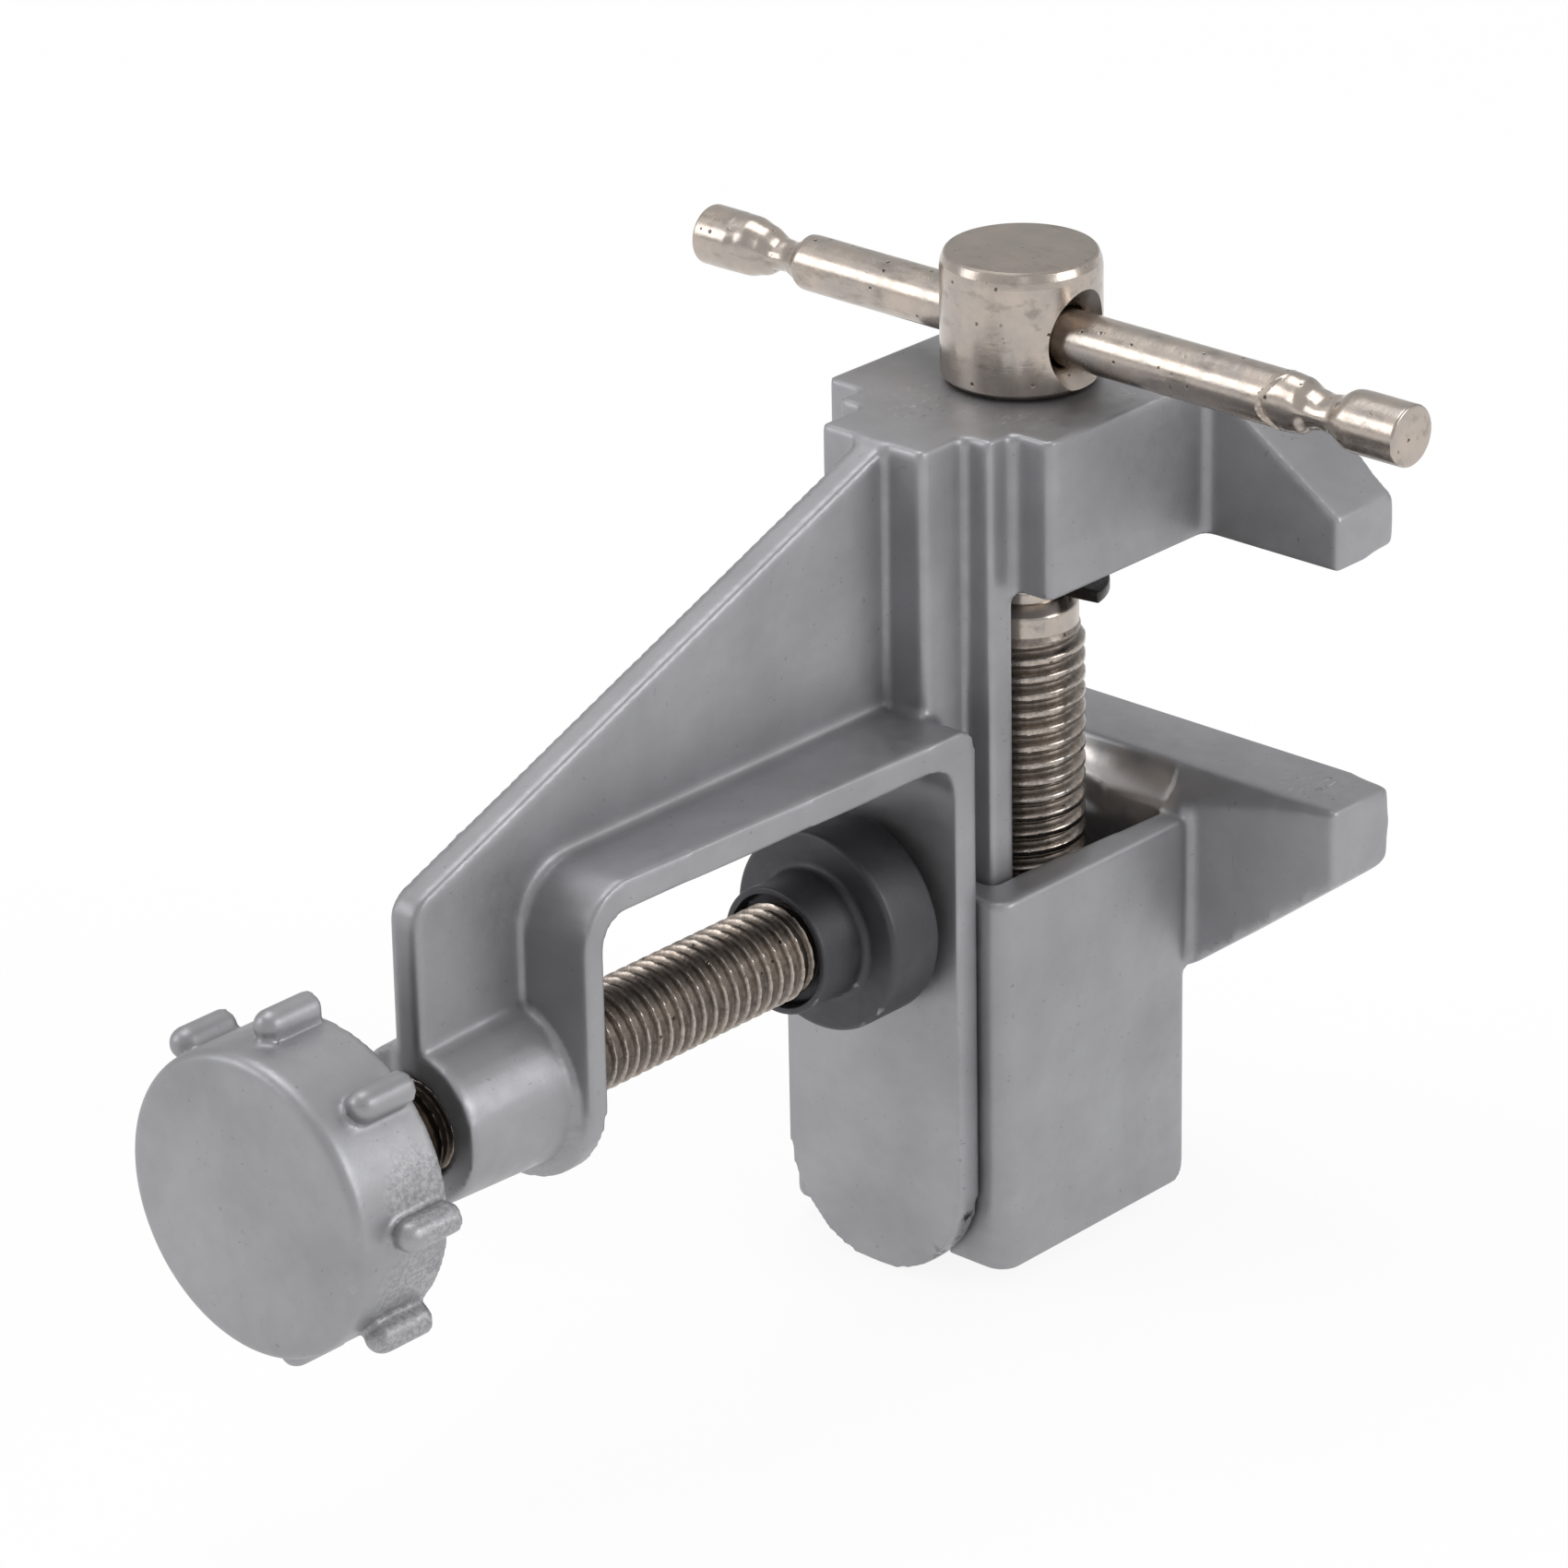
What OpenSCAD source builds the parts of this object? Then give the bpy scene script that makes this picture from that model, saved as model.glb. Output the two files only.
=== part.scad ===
// Small clamp-on table vise, as it stands in its photograph, in millimetres.
// Origin: on the plate's face that bears on the table, on the clamp screw's axis.
// +X runs from the knob to the jaws, +Z up along the main screw.

/* [Bow] */
// Inside width of the bow, from the leg to the plate
throat_w = 38.7; // [32:0.1:60]
// Height of the bow's inside above the clamp screw's axis
throat_h = 14.6; // [12:0.1:30]
// Thickness of the bow's top
bow_t = 2.6; // [2:0.1:4]
// Thickness of the leg
leg_t = 1.9; // [1.5:0.1:4]
// Half width of the leg, and radius of its round end
leg_hw = 8.1; // [7.2:0.1:9]
// Thickness of the plate
plate_t = 2.3; // [1.8:0.1:4]
// Half width of the plate, and radius of its round end
plate_hw = 9.2; // [8.5:0.1:11]
// Depth of the centre of the plate's round end below the clamp screw's axis
plate_drop = 22.7; // [12:0.1:28]
// Radius inside the bow's corners
bow_in_r = 2.6; // [1:0.1:5]
// Radius outside the bow's corner over the leg
bow_leg_r = 4.8; // [1:0.1:6]
// Radius outside the bow's corner over the plate
bow_plate_r = 2; // [1:0.1:4]

/* [Web] */
// Thickness of the web
web_t = 2.8; // [2:0.1:4]
// How far the web stands out in front of the leg
web_out = 11; // [6:0.1:14]
// Height of the web's sloping edge at its low end, above the clamp screw's axis
web_low = 18.1; // [17.6:0.1:26]
// Radius of the web's corner at its low end
web_r = 2.5; // [0.5:0.1:4]
// Step from the head block's top down to the web's high end
web_dip = 0.4; // [0.1:0.1:3]

/* [Boss] */
// Length of the threaded boss in front of the leg
boss_len = 10.7; // [6:0.1:14]
// Radius of the boss at its front
boss_r = 6.4; // [5.6:0.1:7]
// How much wider the boss is at the leg
boss_draft = 0.4; // [0:0.1:1]

/* [Column and head block] */
// Height of the head block's top above the clamp screw's axis
head_top = 39.2; // [34:0.1:60]
// Height of the head block
block_h = 13.2; // [9:0.1:16]
// From the head block's rear face to the main screw's axis
axis_back = 10.2; // [8.6:0.1:14]
// From the main screw's axis to the jaws' rear faces
axis_front = 8.8; // [8.4:0.1:12]
// Half width of the column's neck
neck_hw = 5.2; // [3:0.1:6]
// How far the neck's front stands behind the plate's bearing face
neck_in = 0.8; // [0:0.1:1.5]
// Thickness of the guide flange
flange_t = 2.8; // [2:0.1:5]
// Depth of the guide flange's end below the clamp screw's axis
guide_drop = 24.8; // [16:0.1:27]

/* [Jaws] */
// Half length of both jaws
jaw_hl = 24.8; // [18:0.1:40]
// Thickness of both jaws, along X
jaw_t = 7.6; // [5:0.1:12]
// Height of the upper jaw's tips
upper_tip_h = 4.5; // [3:0.1:8]
// Height of the lower jaw's tips
lower_tip_h = 6.6; // [4:0.1:9]
// Height of the lower jaw where it meets the box
lower_root_h = 16.8; // [12:0.1:20]
// Opening between the jaws as photographed
jaw_gap = 20.4; // [12:0.1:24]

/* [Sliding box] */
// Step from the lower jaw's gripping face down to the box's rim
rim_step = 3.4; // [1:0.1:6]
// Height of the box
box_h = 32.4; // [28:0.1:36]
// Thickness of the box's side walls at the column
box_wall = 3.5; // [2:0.1:5]
// How much wider each side of the box's hollow is at the jaw
hollow_flare = 1.1; // [0:0.1:1.5]
// Thickness of the lips that hold the guide flange
lip_t = 2.9; // [2:0.1:4]
// From the main screw's axis to the box's outer face under the jaw
box_front = 7.3; // [6.8:0.1:8]
// From the main screw's axis to the front of the box's hollow
hollow_front = 6.6; // [6:0.1:7.5]
// Depth of the hollow above the nut
nut_depth = 10.9; // [6:0.1:14]
// Length of the threaded nut in the box
nut_len = 14; // [8:0.1:16]
// Radius of the box's upright edges
box_r = 1.6; // [0.4:0.1:2.4]
// Radius of the box's lower corner under the jaw
box_low_r = 2.4; // [0.5:0.1:4]

/* [Main screw] */
// Radius of the main screw's thread
screw_r = 5; // [4:0.1:5.3]
// Pitch of the main screw's thread
screw_pitch = 1.5; // [1:0.05:2]
// Length of the main screw below the head block's top
screw_len = 66; // [58:0.1:72]
// How much further out the screw's head stands than its thread
head_over = 1.45; // [1:0.05:2]
// Height of the screw's head
head_h = 10.5; // [8:0.1:14]
// Rounding of the head's top edge
head_edge = 0.25; // [0.1:0.05:0.6]
// Chamfer under the head
head_under = 0.5; // [0.2:0.05:1]
// Height of the handle's hole in the head, from the block's top
hole_z = 4.4; // [3.9:0.1:6]
// Length of the plain collar under the clip
collar_len = 2.5; // [1:0.1:5]

/* [Retaining clip] */
// How much further out the clip stands than the screw's thread
clip_over = 1.95; // [1.5:0.05:2.2]
// Thickness of the clip
clip_t = 1.05; // [0.8:0.05:1.4]
// Depth of the clip's upper face below the head block's top
clip_drop = 17; // [16.4:0.1:20]
// Depth of the clip's groove in the screw
groove_d = 1.5; // [0.8:0.05:1.8]
// Half of the angle of the clip's mouth, in degrees
clip_mouth = 50; // [35:1:60]
// From the clip's mouth to the middle of its end prongs, in degrees
prong_lead = 10; // [8:1:20]
// Direction of the clip's mouth, in degrees from +X
clip_turn = -130; // [-180:1:180]

/* [Handle bar] */
// Radius of the handle bar
bar_r = 2.3; // [1.8:0.05:2.6]
// Length of the handle bar
bar_len = 71.5; // [60:0.1:100]
// How far the bar's middle lies to the near side
bar_off = 2.75; // [0:0.05:10]
// Droop of the bar's near end in its loose hole, in degrees
bar_tilt = 0.3; // [0:0.1:0.4]
// How much wider the bar's pinched ends are
bar_end_over = 0.2; // [0.15:0.05:0.6]
// Width of the countersinks at the handle's hole
hole_sink = 1.8; // [0.5:0.05:2]

/* [Clamp screw] */
// Radius of the clamp screw's thread
clamp_r = 4; // [3.4:0.1:4.4]
// Pitch of the clamp screw's thread
clamp_pitch = 1.25; // [0.8:0.05:1.75]
// Radius of the tenon that holds the pad
tenon_r = 2.9; // [2:0.05:3.1]

/* [Pad] */
// Gap between the pad and the plate as photographed
pad_gap = 1.2; // [0.4:0.1:10]
// Radius of the pad's flange
pad_r = 8.35; // [7:0.05:9]
// Thickness of the pad's flange
pad_t = 5.3; // [4:0.1:7]
// Radius of the pad's hub
hub_r = 5.3; // [5.2:0.05:6]
// Length of the pad's hub
hub_len = 4.8; // [3:0.1:7]
// Radius of the recess in the hub's front
dimple_r = 4.7; // [4.55:0.05:4.9]
// Depth of the recess in the hub's front
dimple_d = 1.5; // [0.8:0.1:2.5]
// Depth of the recess in the flange's face
seat_d = 1.8; // [1.5:0.1:2.4]

/* [Knob] */
// Gap between the boss and the knob as photographed
knob_gap = 8.4; // [2:0.1:20]
// Radius of the knob
knob_r = 12.05; // [10:0.05:16]
// Length of the knob
knob_len = 9.1; // [6:0.1:12]
// Thickness of the knob's front wall
knob_front = 2.6; // [2:0.1:4]
// Thickness of the knob's rim
knob_wall = 2.3; // [1.5:0.1:3]
// Radius of the knob's inner boss
knob_hub_r = 6.2; // [5.5:0.1:7]
// Rounding of the knob's front edge
knob_edge = 1; // [0.4:0.1:2]
// Radius of the knob's grip ribs
rib_r = 1.28; // [1.14:0.02:1.6]
// How far the ribs' centres lie outside the knob's radius
rib_out = 1.03; // [0.2:0.01:1.1]
// How far the ribs' front ends lie behind the knob's face
rib_in = 2.8; // [1.5:0.1:4]
// How far the ribs' rear ends lie in front of the knob's rear edge
rib_back = 0.8; // [0.2:0.1:2]
// Number of grip ribs
rib_n = 8; // [4:1:12]

/* [Fits] */
// Gap between the sliding box and the column
slide_gap = 0.3; // [0.15:0.05:0.5]
// Clearance round the threads and turning shafts
run_gap = 0.05; // [0.03:0.01:0.09]
// Clearance round the handle bar in its hole
bar_gap = 0.08; // [0.03:0.01:0.1]
// Gap under the screw's head
head_gap = 0.15; // [0.05:0.05:0.3]
// Gap each side of the pad on its tenon
tenon_gap = 0.15; // [0.05:0.05:0.3]
// Room between the clip and the column's flange width
clip_room = 0.75; // [0.5:0.05:1.5]
// Interference that holds the knob on the clamp screw
press = 0.02; // [0.01:0.01:0.04]

/* [Hidden] */
$fn = 72;
overrun = 5;

// Thread form: crest and root flats and depth, as shares of the pitch
thread_crest_share = 0.2;
thread_root_share = 0.3;
thread_depth_share = 0.5;

// The bow, seen from the side
leg_x1 = -throat_w;
leg_x0 = leg_x1 - leg_t;
bow_z1 = throat_h + bow_t;
plate_end = -plate_drop - plate_hw;
web_x0 = leg_x0 - web_out;
boss_x0 = leg_x0 - boss_len;
web_foot = boss_r / 2;

// Widths that follow the clip, the flange and the box
clip_r = screw_r + clip_over;
flange_hw = clip_r + clip_room;
hollow_hw = flange_hw + slide_gap;
box_hw = hollow_hw + box_wall;
block_hw = box_hw;

// Places along X
lip_x0 = plate_t + slide_gap;
lip_x1 = lip_x0 + lip_t;
flange_x0 = lip_x1 + slide_gap;
flange_x1 = flange_x0 + flange_t;
screw_x = flange_x1 + axis_back;
jaw_x0 = screw_x + axis_front;
jaw_x1 = jaw_x0 + jaw_t;
box_x1 = screw_x + box_front;
hollow_x1 = screw_x + hollow_front;

// Heights
block_z0 = head_top - block_h;
jaw_z = block_z0 - jaw_gap;
rim_z = jaw_z - rim_step;
box_z0 = rim_z - box_h;
nut_z1 = rim_z - nut_depth;
nut_z0 = nut_z1 - nut_len;
screw_z0 = head_top - screw_len;
clip_z1 = head_top - clip_drop;
clip_z0 = clip_z1 - clip_t;
collar_z0 = clip_z0 - collar_len;

// The web's sloping edge and the circle that rounds its low corner
web_high = head_top - web_dip;
web_slope = (web_high - web_low) / (neck_in - web_x0);
web_diag = sqrt(1 + web_slope * web_slope);
web_cx = web_x0 + web_r;
web_cz = web_low + web_slope * web_r - web_r * web_diag;
web_tx = web_cx - web_r * web_slope / web_diag;
web_tz = web_cz + web_r / web_diag;

// The head, its hole and the handle bar
head_r = screw_r + head_over;
head_z0 = head_top + head_gap;
hole_r = bar_r + bar_gap;
bar_y0 = -bar_off - bar_len / 2;
bar_y1 = -bar_off + bar_len / 2;
bar_end_r = bar_r + bar_end_over;
// Places along the bar from its near tip and its far tip, as shares of its radius
near_cap_share = 2.6;
near_pinch_share = 3.4;
near_flat_share = 4.8;
far_cap_share = 1.3;
far_flat_share = 2.45;
far_pinch_share = 4.1;
// Least half thickness and rounding of a pinch, as shares of the bar's radius
pinch_half_share = 0.66;
pinch_round_share = 1.3;
ear_half_share = 0.72;

// The pad on its tenon
pad_x1 = -pad_gap;
pad_flange_x0 = pad_x1 - pad_t;
pad_x0 = pad_flange_x0 - hub_len;
dimple_x = pad_x0 + dimple_d;
seat_x = pad_x1 - seat_d;
shoulder_x = dimple_x - tenon_gap;
rivet_x0 = seat_x + tenon_gap;
rivet_x1 = rivet_x0 + seat_d * 2 / 3;
rivet_r = tenon_r + clamp_r / 4;
seat_r = rivet_r + 2 * slide_gap;

// The knob on the clamp screw
knob_x1 = boss_x0 - knob_gap;
knob_x0 = knob_x1 - knob_len;
knob_bore_x = knob_x0 + knob_front;
knob_hub_x1 = knob_x1 - knob_wall / 3;
rib_c = knob_r + rib_out;
rib_x0 = knob_x0 + rib_in;
rib_x1 = knob_x1 - rib_back;
rib_turn = -2.3;

// Greys of the photograph
grey = [0.58, 0.58, 0.6];
steel = [0.62, 0.58, 0.54];
black = [0.07, 0.07, 0.08];
iron = [0.33, 0.33, 0.35];

// A flat shape drawn as (x, z), made into a slab of the given half width along Y
module slab(hw) {
    translate([0, hw, 0])
        rotate([90, 0, 0])
            linear_extrude(height = 2 * hw)
                children();
}

// A flat shape drawn as (y, z), made into a block from x0 to x1
module along_x(x0, x1) {
    translate([x0, 0, 0])
        rotate([90, 0, 90])
            linear_extrude(height = x1 - x0)
                children();
}

// A rectangle from x0, y0 to x1, y1
module area(x0, y0, x1, y1) {
    translate([x0, y0])
        square([x1 - x0, y1 - y0]);
}

// A rectangle whose four corners are rounded
module round_area(x0, y0, x1, y1, r) {
    area(x0 + r, y0, x1 - r, y1);
    area(x0, y0 + r, x1, y1 - r);
    for (x = [x0 + r, x1 - r], y = [y0 + r, y1 - r])
        translate([x, y])
            circle(r);
}

// A box from one corner to the other
module block(low, high) {
    translate(low)
        cube(high - low);
}

// A round bar along X
module bar_x(x0, x1, r) {
    translate([x0, 0, 0])
        rotate([0, 90, 0])
            cylinder(h = x1 - x0, r = r);
}

// Corners of one ridge of a thread, counted from the ridge's foot
function ridge(k, pitch) =
    pitch * thread_root_share / 2
    + (k == 0 ? 0 : k == 3 ? pitch * (1 - thread_root_share)
       : pitch * (1 - thread_root_share - thread_crest_share) / 2
         + (k == 2 ? pitch * thread_crest_share : 0));

// Half section of a screw thread with ring-shaped ridges, from z0 up to z1
function thread_points(r, pitch, z0, z1) =
    let (root_r = r - pitch * thread_depth_share, turns = floor((z1 - z0) / pitch))
        concat([[0, z0], [root_r, z0]],
               [for (i = [0 : turns - 1], k = [0 : 3])
                   [k == 0 || k == 3 ? root_r : r, z0 + i * pitch + ridge(k, pitch)]],
               [[root_r, z1]]);

// The bow's side outline, with its inside cut out
module bow_outline() {
    difference() {
        union() {
            area(leg_x0, -leg_hw, plate_t, bow_z1 - bow_leg_r);
            area(leg_x0 + bow_leg_r, 0, plate_t - bow_plate_r, bow_z1);
            area(0, plate_end, plate_t, bow_z1 - bow_plate_r);
            translate([leg_x0 + bow_leg_r, bow_z1 - bow_leg_r])
                circle(bow_leg_r);
            translate([plate_t - bow_plate_r, bow_z1 - bow_plate_r])
                circle(bow_plate_r);
        }
        round_area(leg_x1, plate_end - overrun - bow_in_r, 0, throat_h, bow_in_r);
    }
}

// The widths that the bow's three runs may fill
module bow_room() {
    along_x(leg_x0 - overrun, leg_x1 + bow_in_r) {
        circle(leg_hw);
        area(-leg_hw, 0, leg_hw, bow_z1 + overrun);
    }
    linear_extrude(height = bow_z1 + overrun)
        polygon([[leg_x1, -leg_hw], [0, -plate_hw], [0, plate_hw], [leg_x1, leg_hw]]);
    along_x(-bow_in_r, plate_t + overrun) {
        translate([0, -plate_drop])
            circle(plate_hw);
        area(-plate_hw, -plate_drop, plate_hw, bow_z1 + overrun);
    }
}

// The web's side outline
module web_outline() {
    polygon([[web_x0, web_foot], [web_x0, web_cz], [web_tx, web_tz], [neck_in, web_high],
             [plate_t, web_high], [plate_t, bow_z1 - bow_t / 2],
             [leg_x0 + bow_leg_r, bow_z1 - bow_t / 2],
             [leg_x0 + leg_t / 2, bow_z1 - bow_leg_r], [leg_x0 + leg_t / 2, web_foot]]);
    translate([web_cx, web_cz])
        circle(web_r);
}

// The jaw's end view: square tips and sides that slope to the root
module jaw_outline(z_grip, z_tip, z_root) {
    polygon([[-jaw_hl, z_grip], [-jaw_hl, z_tip], [-box_hw, z_root],
             [box_hw, z_root], [jaw_hl, z_tip], [jaw_hl, z_grip]]);
}

module body_casting() {
    color(grey)
        difference() {
            union() {
                intersection() {
                    slab(plate_hw)
                        bow_outline();
                    bow_room();
                }
                slab(web_t / 2)
                    web_outline();
                translate([boss_x0, 0, 0])
                    rotate([0, 90, 0])
                        cylinder(h = boss_len + leg_t / 2, r1 = boss_r, r2 = boss_r + boss_draft);
                // The column: a neck behind the plate and the flange that guides the box
                block([neck_in, -neck_hw, throat_h], [flange_x0, neck_hw, head_top]);
                block([plate_t / 2, -neck_hw, -guide_drop], [flange_x0, neck_hw, head_top]);
                block([flange_x0, -flange_hw, -guide_drop], [flange_x1, flange_hw, head_top]);
                // The head block and the upper jaw
                translate([0, 0, block_z0])
                    linear_extrude(height = block_h)
                        round_area(flange_x1, -block_hw, jaw_x1 - jaw_t / 2, block_hw, box_r / 2);
                along_x(jaw_x0, jaw_x1)
                    jaw_outline(block_z0, block_z0 + upper_tip_h, head_top);
            }
            // The clamp screw's threaded hole and the main screw's bore
            bar_x(boss_x0 - overrun, leg_x1 + overrun, clamp_r + run_gap);
            translate([screw_x, 0, block_z0 - overrun])
                cylinder(h = block_h + 2 * overrun, r = screw_r + run_gap);
        }
}

// The box's side outline: its lower corner under the jaw is rounded
module box_outline() {
    area(lip_x0, box_z0 + box_low_r, box_x1, rim_z);
    area(lip_x0, box_z0, box_x1 - box_low_r, rim_z);
    translate([box_x1 - box_low_r, box_z0 + box_low_r])
        circle(box_low_r);
}

module sliding_jaw() {
    tip_x = jaw_x0 + run_gap;
    color(grey)
        difference() {
            union() {
                intersection() {
                    slab(box_hw)
                        box_outline();
                    translate([0, 0, box_z0])
                        linear_extrude(height = box_h)
                            round_area(lip_x0, -box_hw, box_x1, box_hw, box_r);
                }
                // The jaw: its rear faces run in from the tips to the box's sides
                intersection() {
                    along_x(screw_x, jaw_x1)
                        jaw_outline(jaw_z, jaw_z - lower_tip_h, jaw_z - lower_root_h);
                    translate([0, 0, jaw_z - lower_root_h])
                        linear_extrude(height = lower_root_h)
                            polygon([[tip_x, -jaw_hl], [jaw_x1, -jaw_hl], [jaw_x1, jaw_hl],
                                     [tip_x, jaw_hl], [box_x1, box_hw],
                                     [box_x1 - box_r, hollow_hw], [box_x1 - box_r, -hollow_hw],
                                     [box_x1, -box_hw]]);
                }
            }
            // The face that leads from the gripping face down to the box's rim
            slab(jaw_hl + overrun)
                polygon([[jaw_x0, jaw_z], [hollow_x1, rim_z], [screw_x - overrun, rim_z],
                         [screw_x - overrun, jaw_z + overrun], [jaw_x0, jaw_z + overrun]]);
            // The hollow above the nut
            translate([0, 0, nut_z1])
                linear_extrude(height = nut_depth + overrun)
                    polygon([[lip_x1, -hollow_hw], [flange_x1, -hollow_hw],
                             [hollow_x1, -hollow_hw - hollow_flare],
                             [hollow_x1, hollow_hw + hollow_flare],
                             [flange_x1, hollow_hw], [lip_x1, hollow_hw]]);
            // Room for the clip when the jaws are shut
            translate([screw_x, 0, rim_z - 2 * clip_t - slide_gap])
                cylinder(h = overrun, r = clip_r + slide_gap);
            // The hollow below the nut
            block([lip_x1, -hollow_hw, box_z0 - overrun],
                  [screw_x + screw_r + 2 * slide_gap, hollow_hw, nut_z0]);
            // The guide's groove and the slot between the lips
            block([lip_x1, -hollow_hw, box_z0 - overrun],
                  [flange_x1 + slide_gap, hollow_hw, rim_z + overrun]);
            block([lip_x0 - overrun, -neck_hw - slide_gap, box_z0 - overrun],
                  [flange_x0, neck_hw + slide_gap, rim_z + overrun]);
            // The nut's threaded bore
            translate([screw_x, 0, nut_z0 - overrun])
                cylinder(h = nut_len + 2 * overrun, r = screw_r + run_gap);
        }
}

module main_screw() {
    groove_r = screw_r - groove_d;
    groove_z1 = clip_z1 + clip_t / 3;
    collar_edge = screw_r / 10;
    head_z1 = head_z0 + head_h;
    hole_up = head_top + hole_z;
    mouth = head_r + overrun;
    color(steel)
        translate([screw_x, 0, 0])
            difference() {
                rotate_extrude()
                    polygon(concat(
                        thread_points(screw_r, screw_pitch, screw_z0, collar_z0),
                        [[screw_r - 2 * collar_edge, collar_z0],
                         [screw_r - collar_edge, collar_z0 + collar_edge],
                         [screw_r - collar_edge, clip_z0 - collar_edge],
                         [screw_r - 2 * collar_edge, clip_z0], [groove_r, clip_z0],
                         [groove_r, groove_z1], [screw_r, groove_z1], [screw_r, head_z0],
                         [head_r - head_under, head_z0], [head_r, head_z0 + head_under],
                         [head_r, head_z1 - head_edge], [head_r - head_edge, head_z1],
                         [0, head_z1]]));
                // The handle's hole with a countersink at each mouth
                translate([0, 0, hole_up])
                    rotate([90, 0, 0])
                        rotate_extrude()
                            polygon([[0, -mouth], [hole_r + hole_sink + overrun, -mouth],
                                     [hole_r, hole_sink - head_r], [hole_r, head_r - hole_sink],
                                     [hole_r + hole_sink + overrun, mouth], [0, mouth]]);
            }
}

module e_clip() {
    seat = screw_r - groove_d + run_gap;
    ring_w = clip_over;
    prong_w = clip_over;
    prong_a = clip_mouth + prong_lead;
    color(black)
        translate([screw_x, 0, clip_z0 + run_gap])
            rotate([0, 0, clip_turn])
                linear_extrude(height = clip_t - run_gap)
                    difference() {
                        union() {
                            difference() {
                                circle(clip_r);
                                circle(clip_r - ring_w);
                            }
                            for (a = [prong_a, 180, -prong_a])
                                rotate(a)
                                    area(0, -prong_w / 2, clip_r - ring_w / 2, prong_w / 2);
                        }
                        circle(seat);
                        polygon([[0, 0], [clip_r, -clip_r * tan(clip_mouth)],
                                 [clip_r, clip_r * tan(clip_mouth)]]);
                    }
}

// Two grooves across the bar, one from each side, that pinch it
module pinch(y, turn) {
    round_r = bar_r * pinch_round_share;
    for (side = [-1, 1])
        translate([0, y, 0])
            rotate([0, turn, 0])
                translate([0, 0, side * (round_r + bar_r * pinch_half_share)])
                    rotate([0, 90, 0])
                        cylinder(h = 2 * bar_r + 2 * overrun, r = round_r, center = true);
}

// The metal that a pinch has pushed out to both sides
module ears(y, turn) {
    ear_h = bar_end_r + bar_end_over / 2;
    translate([0, y, 0])
        rotate([0, turn, 0])
            intersection() {
                rotate([90, 0, 0])
                    cylinder(h = bar_r, r = ear_h, center = true);
                cube([2 * ear_h, bar_r, 2 * bar_r * ear_half_share], center = true);
            }
}

module handle_bar() {
    near = [near_cap_share, near_pinch_share, near_flat_share] * bar_r;
    far = [far_cap_share, far_flat_share, far_pinch_share] * bar_r;
    edge = bar_end_over;
    color(steel)
        translate([screw_x, 0, head_top + hole_z])
            rotate([bar_tilt, 0, 0]) {
                difference() {
                    // Turned so that its length runs along +Y
                    rotate([-90, 0, 0])
                        rotate_extrude()
                            polygon([[0, bar_y0], [bar_end_r - edge, bar_y0],
                                     [bar_end_r, bar_y0 + edge], [bar_end_r, bar_y0 + near[0]],
                                     [bar_r, bar_y0 + near[1]], [bar_r, bar_y1 - far[1]],
                                     [bar_end_r, bar_y1 - far[0]], [bar_end_r, bar_y1 - edge],
                                     [bar_end_r - edge, bar_y1], [0, bar_y1]]);
                    pinch(bar_y0 + near[1], 0);
                    pinch(bar_y0 + near[2], 90);
                    pinch(bar_y1 - far[1], 90);
                    pinch(bar_y1 - far[2], 0);
                }
                ears(bar_y0 + near[2], 90);
                ears(bar_y1 - far[1], 90);
            }
}

module clamp_screw() {
    thread_x0 = knob_x1;
    color(steel) {
        bar_x(knob_bore_x + press, thread_x0, clamp_r);
        translate([thread_x0, 0, 0])
            rotate([0, 90, 0])
                rotate_extrude()
                    polygon(concat(
                        thread_points(clamp_r, clamp_pitch, 0, shoulder_x - thread_x0),
                        [[0, shoulder_x - thread_x0]]));
        bar_x(shoulder_x - clamp_r / 4, rivet_x0 + seat_d / 3, tenon_r);
        bar_x(rivet_x0, rivet_x1, rivet_r);
    }
}

module pad() {
    edge = pad_t / 12;
    color(iron)
        rotate([0, 90, 0])
            rotate_extrude()
                polygon([[tenon_r + run_gap, dimple_x], [dimple_r, dimple_x], [dimple_r, pad_x0],
                         [hub_r - edge, pad_x0], [hub_r, pad_x0 + edge], [hub_r, pad_flange_x0],
                         [pad_r - edge, pad_flange_x0], [pad_r, pad_flange_x0 + edge],
                         [pad_r, pad_x1 - edge], [pad_r - edge, pad_x1], [seat_r, pad_x1],
                         [seat_r, seat_x], [tenon_r + run_gap, seat_x]]);
}

module knob() {
    hollow_r = knob_r - knob_wall;
    color(grey) {
        rotate([0, 90, 0])
            rotate_extrude() {
                difference() {
                    union() {
                        area(0, knob_x0 + knob_edge, knob_r, knob_x1);
                        area(0, knob_x0, knob_r - knob_edge, knob_x1);
                        translate([knob_r - knob_edge, knob_x0 + knob_edge])
                            circle(knob_edge);
                    }
                    area(knob_hub_r, knob_bore_x, hollow_r, knob_x1 + overrun);
                    area(-overrun, knob_bore_x, clamp_r - press, knob_x1 + overrun);
                    area(-overrun, knob_hub_x1, hollow_r, knob_x1 + overrun);
                    area(-overrun - knob_r, knob_x0 - overrun, 0, knob_x1 + overrun);
                }
            }
        for (i = [0 : rib_n - 1])
            rotate([360 / rib_n * i + rib_turn, 0, 0])
                translate([0, 0, rib_c]) {
                    bar_x(rib_x0 + rib_r, rib_x1, rib_r);
                    translate([rib_x0 + rib_r, 0, 0])
                        sphere(rib_r);
                }
    }
}

body_casting();
sliding_jaw();
main_screw();
e_clip();
handle_bar();
clamp_screw();
pad();
knob();
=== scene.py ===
"""Looks of the clamp-on table vise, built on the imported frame: castings, screws, handle and small parts."""

import math

import bmesh
import bpy
import numpy as np
from bpy.props import (
    FloatProperty,
    FloatVectorProperty,
    IntProperty,
    PointerProperty,
)
from mathutils import Matrix, Vector


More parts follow.
